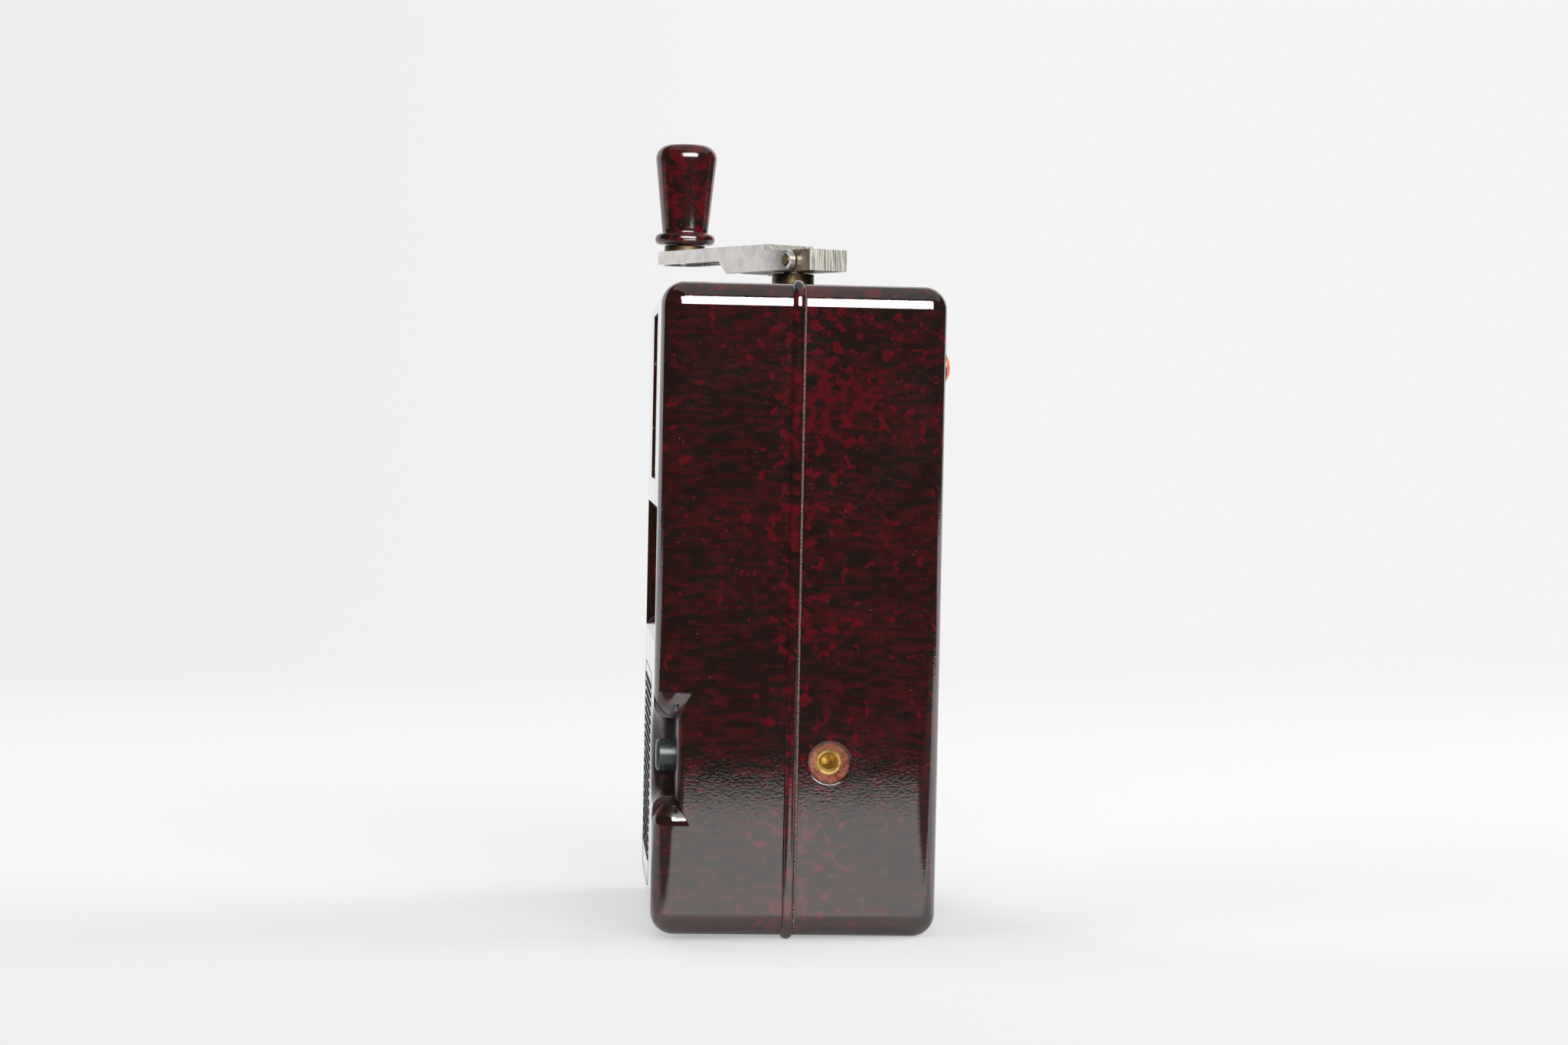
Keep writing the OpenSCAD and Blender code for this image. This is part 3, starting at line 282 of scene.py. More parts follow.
mottle = {
    "ground": rgba(0.0120, 0.0062, 0.0046),
    "streak": rgba(0.042, 0.0056, 0.0054),
    "deep": rgba(0.062, 0.0048, 0.0064),
    "crimson": rgba(0.094, 0.0046, 0.0076),
    "speck": rgba(0.45, 0.23, 0.19),
    "tornStretch": (1.0, 0.9, 1.0), "tornNoise": (340.0, 3.0, 0.5, 0.2),
    "cloudStretch": (1.0, 0.55, 1.0), "cloudNoise": (62.0, 3.0, 0.5, 0.4),
    "drawnStretch": (1.0, 0.34, 1.2), "drawnNoise": (480.0, 4.0, 0.6, 0.3),
    "peelStretch": (1.0, 0.55, 1.0), "peelNoise": (1500.0, 2.0, 0.55),
    "fineNoise": (900.0, 3.0, 0.6), "dullNoise": (1100.0, 2.0, 0.6),
    "patchNoise": (45.0, 2.0, 0.5), "waveNoise": (240.0, 2.0, 0.5),
    "flakeLevel": 0.64, "flakeGain": 0.2, "flakeShares": (0.72, 0.28), "flakeEdge": (-0.008, 0.016),
    "streakLevel": 0.585, "streakGain": 0.16, "streakShares": (0.74, 0.26), "streakEdge": (-0.07, 0.11),
    "shadeShares": (0.4, 0.6), "shadeEdge": (0.46, 0.66),
    "speckScale": 260.0, "speckEdge": (0.022, 0.034, 1.0, 0.0), "speckShare": 0.7,
    "dullEdge": (0.40, 0.75, 0.045, 0.085), "patchEdge": (0.4, 0.7, 0.0, 0.03),
    "ior": 2.08, "bevel": 0.35 * mm, "bump": 0.58, "depth": 0.05 * mm,
}


def mottleGroup():
    tree, source, sink = newGroup("mottledMoulding", [
        ("Vector", "NodeSocketVector", None),
        ("Blotch", "NodeSocketFloat", 0.5),
        ("Streak", "NodeSocketFloat", 0.5),
    ], [
        ("Colour", "NodeSocketColor"),
        ("Rough", "NodeSocketFloat"),
        ("Height", "NodeSocketFloat"),
    ])
    m = mottle
    at = source.outputs["Vector"]
    torn = noise(tree, stretched(tree, at, m["tornStretch"]), *m["tornNoise"])
    cloud = noise(tree, stretched(tree, at, m["cloudStretch"]), *m["cloudNoise"])
    drawn = noise(tree, stretched(tree, at, m["drawnStretch"]), *m["drawnNoise"])
    fine = noise(tree, at, *m["fineNoise"])

    flakeLevel = minus(tree, m["flakeLevel"], times(tree, source.outputs["Blotch"], m["flakeGain"]))
    flakeField = weigh(tree, torn, m["flakeShares"][0], cloud, m["flakeShares"][1])
    flake = ramp(tree, minus(tree, flakeField, flakeLevel), *m["flakeEdge"])
    streakLevel = minus(tree, m["streakLevel"], times(tree, source.outputs["Streak"], m["streakGain"]))
    streakField = weigh(tree, drawn, m["streakShares"][0], cloud, m["streakShares"][1])
    streak = ramp(tree, minus(tree, streakField, streakLevel), *m["streakEdge"])
    shade = ramp(tree, weigh(tree, fine, m["shadeShares"][0], torn, m["shadeShares"][1]), *m["shadeEdge"])
    speck = ramp(tree, voronoi(tree, at, m["speckScale"]), *m["speckEdge"])

    streaky = mixColour(tree, streak, m["ground"], m["streak"])
    flaky = mixColour(tree, flake, streaky, mixColour(tree, shade, m["deep"], m["crimson"]))
    colour = mixColour(tree, times(tree, speck, m["speckShare"]), flaky, m["speck"])
    tree.links.new(colour, sink.inputs["Colour"])

    dull = ramp(tree, noise(tree, at, *m["dullNoise"]), *m["dullEdge"])
    patch = ramp(tree, noise(tree, at, *m["patchNoise"]), *m["patchEdge"])
    tree.links.new(plus(tree, dull, patch), sink.inputs["Rough"])

    wave = noise(tree, at, *m["waveNoise"])
    peel = noise(tree, stretched(tree, at, m["peelStretch"]), *m["peelNoise"])
    tree.links.new(weigh(tree, wave, 0.5, peel, 0.5), sink.inputs["Height"])
    return tree


mottledGroup = mottleGroup()


def rodMask(tree, a, b, centre, radius, soft):
    # 1 inside a circle of the given radius in the plane of coordinates a and b
    da = minus(tree, a, centre[0])
    db = minus(tree, b, centre[1])
    away = maths(tree, "SQRT", plus(tree, times(tree, da, da), times(tree, db, db)))
    return ramp(tree, away, radius, radius + soft, 1.0, 0.0)


# Countersinks round the sockets, where the skin of the moulding is cut away

countersink = {
    "face": (49.0 * mm, 49.93 * mm), "centre": (8.5 * mm, 46.7 * mm), "radius": 6.4 * mm, "soft": 0.2 * mm,
    "grainNoise": (700.0, 4.0, 0.65), "grainEdge": (0.35, 0.65), "share": 0.9, "rough": 0.16,
    "dark": rgba(0.15, 0.036, 0.023), "light": rgba(0.42, 0.11, 0.060),
}


def countersinkMask(tree, at):
    c = countersink
    under = ramp(tree, maths(tree, "ABSOLUTE", at["X"]), c["face"][0], c["face"][1], 1.0, 0.0)
    return times(tree, under, rodMask(tree, at["Y"], at["Z"], c["centre"], c["radius"], c["soft"]))


# Finger scoop, duller inside than the polished case, most of all on its lower lobe

scoopDull = {
    "face": (-37.4 * mm, -37.1 * mm), "side": (49.6 * mm, 49.9 * mm), "inner": 25 * mm,
    "middle": 47.2 * mm, "half": (17.2 * mm, 17.6 * mm),
    "edgeCentre": (44 * mm, -31.5 * mm), "edgeRadius": 5.5 * mm, "edgeSoft": 0.3 * mm,
    "rough": 0.26, "lobe": (38 * mm, 42 * mm, 0.40, 0.0), "specular": 0.5,
}


def scoopMask(tree, at):
    # 1 on the hollow's walls: behind the front face, short of the side face and under the rounded edge
    s = scoopDull
    behindFace = ramp(tree, at["Y"], s["face"][0], s["face"][1])
    beforeSide = ramp(tree, at["X"], s["side"][0], s["side"][1], 1.0, 0.0)
    height = maths(tree, "ABSOLUTE", minus(tree, at["Z"], s["middle"]))
    level = ramp(tree, height, s["half"][0], s["half"][1], 1.0, 0.0)
    nearScoop = times(tree, level, maths(tree, "GREATER_THAN", at["X"], s["inner"]))
    underEdge = rodMask(tree, at["X"], at["Y"], s["edgeCentre"], s["edgeRadius"], s["edgeSoft"])
    leftOfEdge = maths(tree, "LESS_THAN", at["X"], s["edgeCentre"][0])
    behindEdge = maths(tree, "GREATER_THAN", at["Y"], s["edgeCentre"][1])
    offEdge = maths(tree, "MAXIMUM", leftOfEdge, behindEdge)
    within = times(tree, nearScoop, maths(tree, "MAXIMUM", underEdge, offEdge))
    return times(tree, within, times(tree, behindFace, beforeSide))


def bakelite(name, blotch, streak, seam=None, climb=None, socket=False, scoop=False, dull=0.0,
             ior=mottle["ior"]):
    # seam: more flakes by the distance from the joint, climb: more by Z, both (low, high, at low, at high);
    # dull: added roughness
    material, tree, shader = newMaterial(name)
    coords = objectCoords(tree)
    at = axes(tree, coords)
    amount = blotch
    if seam:
        amount = plus(tree, ramp(tree, maths(tree, "ABSOLUTE", at["Y"]), *seam), amount)
    if climb:
        amount = plus(tree, ramp(tree, at["Z"], *climb), amount)
    made = useGroup(tree, mottledGroup, Vector=coords, Blotch=amount, Streak=streak)
    colour = made.outputs["Colour"]
    rough = made.outputs["Rough"]
    if socket:
        sunk = countersinkMask(tree, at)
        grain = ramp(tree, noise(tree, coords, *countersink["grainNoise"]), *countersink["grainEdge"])
        bared = mixColour(tree, grain, countersink["dark"], countersink["light"])
        colour = mixColour(tree, times(tree, sunk, countersink["share"]), colour, bared)
        rough = plus(tree, rough, times(tree, sunk, countersink["rough"]))
    if scoop:
        hollow = scoopMask(tree, at)
        rough = plus(tree, rough, times(tree, hollow, scoopDull["rough"]))
        matt = times(tree, hollow, ramp(tree, at["Z"], *scoopDull["lobe"]))
        tree.links.new(minus(tree, scoopDull["specular"], matt), shader.inputs["Specular IOR Level"])
    if dull:
        rough = plus(tree, rough, dull)
    tree.links.new(colour, shader.inputs["Base Color"])
    tree.links.new(rough, shader.inputs["Roughness"])
    shader.inputs["IOR"].default_value = ior
    rounded = roundedEdge(tree, mottle["bevel"])
    skin = bump(tree, made.outputs["Height"], mottle["bump"], mottle["depth"], rounded)
    tree.links.new(skin, shader.inputs["Normal"])
    return material


# Metals: stained colour, roughness that follows the grain. Spans are shares of the plain roughness.

metals = {
    "grainNoise": (5.0, 0.65), "stainNoise": (160.0, 4.0, 0.6, 0.4), "stainEdge": (0.42, 0.66),
    "span": (0.7, 1.35), "stainRough": (0.5, 0.7, 0.0, 0.10), "bump": 0.35,
}


def grainRough(tree, grain, rough, span):
    return ramp(tree, grain, 0.3, 0.7, rough * span[0], rough * span[1])


def metal(name, colour, dark, rough, scale=500.0, stretch=(1, 1, 1), contrast=0.5, depth=0.03 * mm):
    material, tree, shader = newMaterial(name)
    coords = objectCoords(tree)
    grain = noise(tree, stretched(tree, coords, stretch), scale, *metals["grainNoise"])
    stain = noise(tree, coords, *metals["stainNoise"])
    stained = times(tree, ramp(tree, stain, *metals["stainEdge"]), contrast)
    tree.links.new(mixColour(tree, stained, colour, dark), shader.inputs["Base Color"])
    shader.inputs["Metallic"].default_value = 1.0
    spread = grainRough(tree, grain, rough, metals["span"])
    tree.links.new(plus(tree, spread, ramp(tree, stain, *metals["stainRough"])), shader.inputs["Roughness"])
    tree.links.new(bump(tree, grain, metals["bump"], depth), shader.inputs["Normal"])
    return material


# Crank metals: hazy plating, with faces left as sawn

sawnFace = {
    "stainNoise": (210.0, 4.0, 0.6, 0.4), "stainEdge": (0.40, 0.66), "grainNoise": (520.0, 5.0, 0.65),
    "marksNoise": (2600.0, 4.0, 0.7), "marksEdge": (0.36, 0.62), "upright": (1, 1, 0.05), "even": (1, 1, 1),
    "dark": rgba(0.17, 0.165, 0.13), "light": rgba(0.56, 0.555, 0.50), "rough": 0.30,
    "paintedShade": rgba(0.10, 0.095, 0.088), "paintedShadeShare": 0.82, "metallic": 0.72,
    "grainShare": 0.06, "bump": 0.5, "depth": 0.12 * mm,
}


def sawnMetal(name, colour, dark, rough, cut, streaked, paintedShadeSpan=None):
    # cut: (low, high) along the crank and the lowest Z of the sawn faces; streaked: upright saw marks;
    # paintedShadeSpan: (low, high) along the crank where painted shade darkens the plating round the pin,
    # most at low
    s = sawnFace
    material, tree, shader = newMaterial(name)
    coords = objectCoords(tree)
    at = axes(tree, coords)
    along = weigh(tree, at["X"], math.cos(crank["angle"]), at["Y"], math.sin(crank["angle"]))
    afterLow = maths(tree, "GREATER_THAN", along, cut[0])
    beforeHigh = maths(tree, "LESS_THAN", along, cut[1])
    aboveFloor = maths(tree, "GREATER_THAN", at["Z"], cut[2])
    mask = times(tree, times(tree, afterLow, beforeHigh), aboveFloor)
    stain = noise(tree, coords, *s["stainNoise"])
    grain = noise(tree, coords, *s["grainNoise"])
    marks = noise(tree, stretched(tree, coords, s["upright"] if streaked else s["even"]), *s["marksNoise"])
    plain = mixColour(tree, ramp(tree, stain, *s["stainEdge"]), colour, dark)
    # painted shade: the plating darkens towards the pin, standing in for the dark reflection in the cheek's
    # rounded end
    if paintedShadeSpan:
        paintedShadeFade = ramp(tree, along, paintedShadeSpan[0], paintedShadeSpan[1], s["paintedShadeShare"], 0.0)
        plain = mixColour(tree, times(tree, paintedShadeFade, maths(tree, "GREATER_THAN", along, paintedShadeSpan[0])),
                          plain, s["paintedShade"])
    sawn = mixColour(tree, ramp(tree, marks, *s["marksEdge"]), s["dark"], s["light"])
    tree.links.new(mixColour(tree, mask, plain, sawn), shader.inputs["Base Color"])
    shader.inputs["Metallic"].default_value = s["metallic"]
    spread = plus(tree, times(tree, mask, s["rough"]), grainRough(tree, grain, rough, metals["span"]))
    tree.links.new(spread, shader.inputs["Roughness"])
    height = weigh(tree, times(tree, marks, mask), 1.0, grain, s["grainShare"])
    tree.links.new(bump(tree, height, s["bump"], s["depth"]), shader.inputs["Normal"])
    return material


# Plastics, paints and fibres: two tones over a grain

plastics = {
    "grainNoise": (4.0, 0.6), "toneEdge": (0.35, 0.7), "finer": 2.3, "detail": 3.0,
    "span": (0.8, 1.3), "bump": 0.2,
}


def plastic(name, colour, lift, rough, scale=300.0, depth=0.03 * mm):
    material, tree, shader = newMaterial(name)
    coords = objectCoords(tree)
    grain = noise(tree, coords, scale, *plastics["grainNoise"])
    tone = mixColour(tree, ramp(tree, grain, *plastics["toneEdge"]), colour, lift)
    tree.links.new(tone, shader.inputs["Base Color"])
    finer = noise(tree, coords, scale * plastics["finer"], plastics["detail"])
    tree.links.new(grainRough(tree, finer, rough, plastics["span"]), shader.inputs["Roughness"])
    tree.links.new(bump(tree, grain, plastics["bump"], depth), shader.inputs["Normal"])
    return material


# Meter glass, slightly dusty

glassLook = {
    "tint": rgba(0.97, 0.985, 0.98), "ior": 1.5, "dustNoise": (800.0, 4.0, 0.7),
    "dustEdge": (0.5, 0.75, 0.02, 0.10), "waveNoise": (40.0, 1.0), "bump": 0.05, "depth": 0.02 * mm,
}


def glassMaterial():
    material, tree, shader = newMaterial("meterGlass")
    coords = objectCoords(tree)
    shader.inputs["Base Color"].default_value = glassLook["tint"]
    shader.inputs["Transmission Weight"].default_value = 1.0
    shader.inputs["IOR"].default_value = glassLook["ior"]
    dust = ramp(tree, noise(tree, coords, *glassLook["dustNoise"]), *glassLook["dustEdge"])
    tree.links.new(dust, shader.inputs["Roughness"])
    wave = noise(tree, coords, *glassLook["waveNoise"])
    tree.links.new(bump(tree, wave, glassLook["bump"], glassLook["depth"]), shader.inputs["Normal"])
    return material


frontBakelite = bakelite("bakeliteFront", 0.10, 0.53, (1 * mm, 16 * mm, 0.44, 0.0),
                         (30 * mm, 130 * mm, 0.0, 0.04), scoop=True)
rearBakelite = bakelite("bakeliteRear", 0.10, 0.53, (1 * mm, 22 * mm, 0.38, 0.0),
                        (100 * mm, 155 * mm, 0.0, 0.28), socket=True)
knobBakelite = bakelite("bakeliteKnob", 0.54, 0.45, dull=0.08, ior=1.7)
brass = metal("brassAged", rgba(0.62, 0.43, 0.17), rgba(0.20, 0.12, 0.05), 0.32)
brassDark = metal("brassDark", rgba(0.17, 0.115, 0.055), rgba(0.06, 0.04, 0.025), 0.38, contrast=0.8)
brassBright = metal("brassBright", rgba(0.54, 0.37, 0.125), rgba(0.40, 0.26, 0.085), 0.30,
                    contrast=0.4, depth=0.004 * mm)
nickel = metal("nickelPlate", rgba(0.80, 0.78, 0.75), rgba(0.52, 0.49, 0.45), 0.15, 380.0, contrast=0.35)
steel = metal("steelTurned", rgba(0.60, 0.59, 0.57), rgba(0.33, 0.31, 0.29), 0.28)
iron = metal("ironGround", rgba(0.38, 0.37, 0.36), rgba(0.20, 0.19, 0.18), 0.40)
copper = metal("copperEnamel", rgba(0.55, 0.23, 0.10), rgba(0.28, 0.11, 0.05), 0.35, 1400.0, (1, 1, 6.0))
hubMetal = sawnMetal("hubMetal", rgba(0.30, 0.235, 0.16), rgba(0.14, 0.10, 0.065), 0.34,
                     (-1.0, crank["tail"] + 0.3 * mm, 0.0), True)
# the last span is painted shade on the arm's cheek round the pin
armMetal = sawnMetal("armNickel", rgba(0.66, 0.64, 0.62), rgba(0.56, 0.54, 0.52), 0.12,
                     (crank["webStart"] - 0.3 * mm, crank["webStart"] + 0.15 * mm, crank["webLow"]), False,
                     (crank["pin"] - 0.8 * mm, crank["webStart"] + 1.0 * mm))
buttonSatin = plastic("buttonSatin", rgba(0.024, 0.031, 0.033), rgba(0.036, 0.045, 0.047), 0.30,
                      700.0, 0.01 * mm)
blackGloss = plastic("blackGloss", rgba(0.008, 0.008, 0.009), rgba(0.014, 0.013, 0.013), 0.12)
gasketFibre = plastic("gasketFibre", rgba(0.036, 0.020, 0.014), rgba(0.31, 0.22, 0.15), 0.85,
                      1900.0, 0.3 * mm)
waxRed = plastic("waxRed", rgba(0.50, 0.095, 0.036), rgba(0.70, 0.19, 0.080), 0.5, 900.0, 0.2 * mm)
magnetRed = plastic("magnetRed", rgba(0.22, 0.02, 0.014), rgba(0.32, 0.035, 0.02), 0.35)
dialIvory = plastic("dialIvory", rgba(0.70, 0.65, 0.50), rgba(0.80, 0.76, 0.63), 0.5, 120.0)
inkBlack = plastic("inkBlack", rgba(0.010, 0.010, 0.010), rgba(0.022, 0.020, 0.018), 0.5)
panelInk = plastic("panelInk", rgba(0.006, 0.005, 0.005), rgba(0.014, 0.010, 0.010), 0.72, 900.0)
boardBrown = plastic("boardBrown", rgba(0.12, 0.05, 0.02), rgba(0.20, 0.09, 0.035), 0.5, 500.0)
carbon = plastic("carbonBlack", rgba(0.02, 0.02, 0.02), rgba(0.04, 0.04, 0.04), 0.6)
glass = glassMaterial()

slotMaterials = {
    "bakelite": rearBakelite, "black_plastic": blackGloss, "gasket": gasketFibre, "wax": waxRed,
    "brass": brass, "nickel": nickel, "steel": steel, "soft_iron": iron, "magnet_paint": magnetRed,
    "copper": copper, "glass": glass, "dial": dialIvory, "pointer_black": inkBlack, "carbon": carbon,
    "board": boardBrown,
}
ownMaterials = {
    "front_shell": frontBakelite, "top_bush": brassDark, "knob_ferrule": brassDark, "hub_bar": hubMetal,
    "seal_cup": brassDark, "hinge_pin": brassDark, "right_socket": brassBright, "left_socket": brassBright,
}
slotOf = {row["node"]: row["material_slot"] for row in frame["record"]["subparts"]}
for name in nodes:
    setMaterial(nodes[name], ownMaterials.get(name, slotMaterials[slotOf[name]]))
print("materials made", len(bpy.data.materials))


# Knob, lathed: ring at the foot, grip that widens upwards, rounded top with the spindle's recess. In mm.

knob = {
    "around": 72, "radius": 8.85, "neck": 6.6, "height": 29.0, "ring": 1.65, "ringInset": 0.15, "dome": 4.0,
    "sink": 2.2, "bore": 2.55, "recess": 4.3, "chamfer": 0.2, "sharp": math.radians(50),
}


def knobProfile():
    # straight grip r(t) = neck + (radius - neck) t between foot ring and dome, arcs for ring and dome
    radius = knob["radius"]
    neck = knob["neck"]
    top = knob["height"]
    ringX = radius - knob["ringInset"] - knob["ring"]
    gripLow = 2 * knob["ring"]
    gripHigh = top - knob["dome"]
    a = np.radians(np.linspace(-90, 84, 18))
    ring = np.stack([ringX + knob["ring"] * np.cos(a), knob["ring"] + knob["ring"] * np.sin(a)], 1)
    fillet = np.array([[neck + 0.30, gripLow - 0.01], [neck + 0.10, gripLow + 0.12]])
    t = np.linspace(0.02, 1, 24)
    grip = np.stack([neck + (radius - neck) * t, gripLow + (gripHigh - gripLow) * t], 1)
    b = np.radians(np.linspace(4, 90, 20))
    domeX = radius - knob["dome"]
    dome = np.stack([domeX + knob["dome"] * np.cos(b), gripHigh + knob["dome"] * np.sin(b)], 1)
    floor = top - knob["sink"]
    recess = np.array([
        [knob["recess"] + knob["chamfer"], top], [knob["recess"], top - knob["chamfer"]],
        [knob["recess"], floor], [knob["bore"], floor], [knob["bore"], 0.0], [ringX, 0.0],
    ])
    return np.concatenate([ring, fillet, grip, dome, recess])


def lathe(name, profile, centre, base, around):
    # each point (r, z) of the profile becomes a ring of points round the upright line through centre
    turn = 2 * np.pi * np.arange(around) / around
    x = centre[0] + profile[:, :1] * mm * np.cos(turn)
    y = centre[1] + profile[:, :1] * mm * np.sin(turn)
    z = base + np.repeat(profile[:, 1:] * mm, around, 1)
    faces = gridFaces(len(profile), around, True)[:, ::-1]
    return meshPiece(name, np.stack([x, y, z], -1).reshape(-1, 3), faces)


knobAxis = (crank["radius"] * math.cos(crank["angle"]), crank["radius"] * math.sin(crank["angle"]))
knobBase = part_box("crank_knob")[0].z
knobPiece = lathe("knob_grip", knobProfile(), knobAxis, knobBase, knob["around"])
knobPiece.data.set_sharp_from_angle(angle=knob["sharp"])
setMaterial(knobPiece, knobBakelite)
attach(knobPiece, "knob")
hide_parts("crank_knob")
print("knob made", len(knobPiece.data.vertices))


# Wax over the sealed screw: a pressed lump with an uneven outline

wax = {"around": 64, "rings": 14, "foot": 0.25 * mm, "root": 0.4 * mm, "press": 0.24, "fall": 2.6}


def waxLump():
    # height falls from the middle as (1 - t^fall), with waves round the outline and over the top
    low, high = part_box("wax_seal")
    radius = (high.x - low.x) / 2
    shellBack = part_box("rear_shell")[1].y
    turn = 2 * np.pi * np.arange(wax["around"]) / wax["around"]
    t = np.linspace(0.0, 1.0, wax["rings"])[:, None]
    waves = 0.05 * np.sin(3 * turn + 0.8) + 0.035 * np.sin(5 * turn + 2.1) + 0.02 * np.sin(11 * turn)
    outline = radius * (0.97 + waves)
    swell = 1 - wax["press"] * (0.5 + 0.5 * np.sin(2 * turn + 0.4)) * t - 0.06 * np.sin(4 * turn + 9 * t)
    height = (high.y - shellBack - wax["foot"]) * (1 - t ** wax["fall"]) * swell + wax["foot"]
    x = (low.x + high.x) / 2 + t * outline * np.cos(turn)
    z = (low.z + high.z) / 2 + t * outline * np.sin(turn)
    lump = np.stack([x, shellBack + height, z], -1)
    skirt = np.stack([x[-1:], np.full_like(x[-1:], shellBack - wax["root"]), z[-1:]], -1)
    verts = np.concatenate([lump, skirt], 0)
    return meshPiece("wax_lump", verts.reshape(-1, 3), gridFaces(len(verts), wax["around"], True))


waxPiece = waxLump()
setMaterial(waxPiece, waxRed)
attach(waxPiece, "case")
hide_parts("wax_seal")
print("wax made")


# Metal pieces and the button with softened edges: width of the edge, material

softened = {
    "crank_arm": (0.22 * mm, armMetal),
    "hub_bar": (0.20 * mm, hubMetal),
    "push_button": (0.15 * mm, buttonSatin),
    "top_bush": (0.25 * mm, brassDark),
    "knob_ferrule": (0.25 * mm, brassDark),
}
for name, (width, material) in softened.items():
    piece = dressedCopy(name, width)
    setMaterial(piece, material)
print("softened copies made", len(softened))


# Button spring: a plain copy of the CAD spring in steel, with a mesh of its own

springPiece = dressedCopy("button_spring", 0)
setMaterial(springPiece, steel)
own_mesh(springPiece)
print("spring made")


# Relief on the front: rows of plain bars in a thin frame

def blocks(name, low, high, base, rise, inset):
    # low, high: (n, 2) corners in X and Z of n raised blocks; the top of each is inset on all sides
    x = np.stack([low[:, 0], high[:, 0], high[:, 0], low[:, 0]], 1)
    z = np.stack([low[:, 1], low[:, 1], high[:, 1], high[:, 1]], 1)
    insetX = np.array([1, -1, -1, 1]) * inset
    insetZ = np.array([1, 1, -1, -1]) * inset
    foot = np.stack([x, np.full_like(x, base), z], -1)
    top = np.stack([x + insetX, np.full_like(x, base - rise), z + insetZ], -1)
    quads = np.array([[0, 1, 5, 4], [1, 2, 6, 5], [2, 3, 7, 6], [3, 0, 4, 7], [4, 5, 6, 7]])
    faces = (np.arange(len(low))[:, None, None] * 8 + quads[None]).reshape(-1, 4)
    return meshPiece(name, np.concatenate([foot, top], 1).reshape(-1, 3), faces, smooth=False)


def loopStrip(name, path, base, rise, half):
    # closed raised line: trapezoid section swept along a loop of points in X and Z
    ahead = np.roll(path, -1, 0) - np.roll(path, 1, 0)
    ahead /= np.linalg.norm(ahead, axis=1, keepdims=True)
    side = np.stack([ahead[:, 1], -ahead[:, 0]], 1)
    section = np.array([[-half, 0.0], [-half * 0.55, rise], [half * 0.55, rise], [half, 0.0]])
    xz = path[:, None, :] + side[:, None, :] * section[None, :, :1]
    y = np.broadcast_to(base - section[:, 1], xz.shape[:2])
    verts = np.stack([xz[..., 0], y, xz[..., 1]], -1)
    faces = gridFaces(len(section), len(path), True)
    return meshPiece(name, verts.transpose(1, 0, 2).reshape(-1, 3), faces)


def roundedLoop(low, high, radius, steps=10):
    # points of a rounded rectangle, a quarter circle at each corner
    turn = np.radians(np.linspace(0, 90, steps))
    corners = np.array([
        [high[0] - radius, high[1] - radius, 0], [low[0] + radius, high[1] - radius, 90],
        [low[0] + radius, low[1] + radius, 180], [high[0] - radius, low[1] + radius, 270],
    ])
    angle = turn + np.radians(corners[:, 2:])
    x = corners[:, :1] + radius * np.cos(angle)
    z = corners[:, 1:2] + radius * np.sin(angle)
    return np.stack([x, z], -1).reshape(-1, 2)


panel = {
    "low": (-38.0 * mm, 9.1 * mm), "high": (18.3 * mm, 66.9 * mm), "corner": 5.0 * mm,
    "line": 0.22 * mm, "lineRise": 0.05 * mm, "rise": 0.18 * mm, "inset": 0.10 * mm, "sunk": 0.01 * mm,
    "margin": 3.2 * mm, "pitch": 2.45 * mm, "tall": 1.35 * mm, "gap": 0.32 * mm, "space": 1.1 * mm,
    "wide": (0.75, 1.35), "spaceShare": 0.2, "lowShare": 0.35, "lowTall": 0.72, "perRow": 34, "seed": 21,
}


def panelRows():
    # widths of the bars are drawn once, laid end to end, and wrapped into rows of the panel's width
    rng = np.random.default_rng(panel["seed"])
    width = panel["high"][0] - panel["low"][0] - 2 * panel["margin"]
    rows = int((panel["high"][1] - panel["low"][1] - 2 * panel["margin"]) / panel["pitch"])
    count = rows * panel["perRow"]
    wide = rng.uniform(panel["wide"][0], panel["wide"][1], count) * mm
    step = wide + np.where(rng.random(count) < panel["spaceShare"], panel["space"], panel["gap"])
    end = np.cumsum(step)
    row = np.floor(end / width)
    start = end - step - row * width
    keep = (start >= 0) & (row < rows)
    x = panel["low"][0] + panel["margin"] + start[keep]
    z = panel["high"][1] - panel["margin"] - row[keep] * panel["pitch"]
    tall = panel["tall"] * np.where(rng.random(keep.sum()) < panel["lowShare"], panel["lowTall"], 1.0)
    low = np.stack([x, z - panel["tall"]], 1)
    high = np.stack([x + wide[keep], z - panel["tall"] + tall], 1)
    return low, high


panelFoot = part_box("front_shell")[0].y + panel["sunk"]
rowLow, rowHigh = panelRows()
panelBars = blocks("panel_bars", rowLow, rowHigh, panelFoot, panel["rise"], panel["inset"])
panelLoop = roundedLoop(panel["low"], panel["high"], panel["corner"])
panelFrame = loopStrip("panel_frame", panelLoop, panelFoot, panel["lineRise"], panel["line"])
for piece in (panelBars, panelFrame):
    setMaterial(piece, panelInk)
    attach(piece, "case")
print("panel relief made", len(rowLow))


# Dial: two arcs, ticks between them and plain numbers, printed on the scale plate

dial = {
    "centre": (0.0, 69.7 * mm), "sweep": math.radians(42), "inner": 33.0 * mm, "outer": 35.6 * mm,
    "line": 0.12 * mm, "above": 0.02 * mm, "ticks": 41, "major": 5, "majorWide": 2.2,
    "minorShort": 1.0 * mm, "steps": 40, "numbers": ["0", "1", "2", "5", "10", "20", "50", "100"],
    "numberRadius": 37.2 * mm, "size": 2.6 * mm, "curveSteps": 4,
}
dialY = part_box("scale_plate")[0].y - dial["above"]


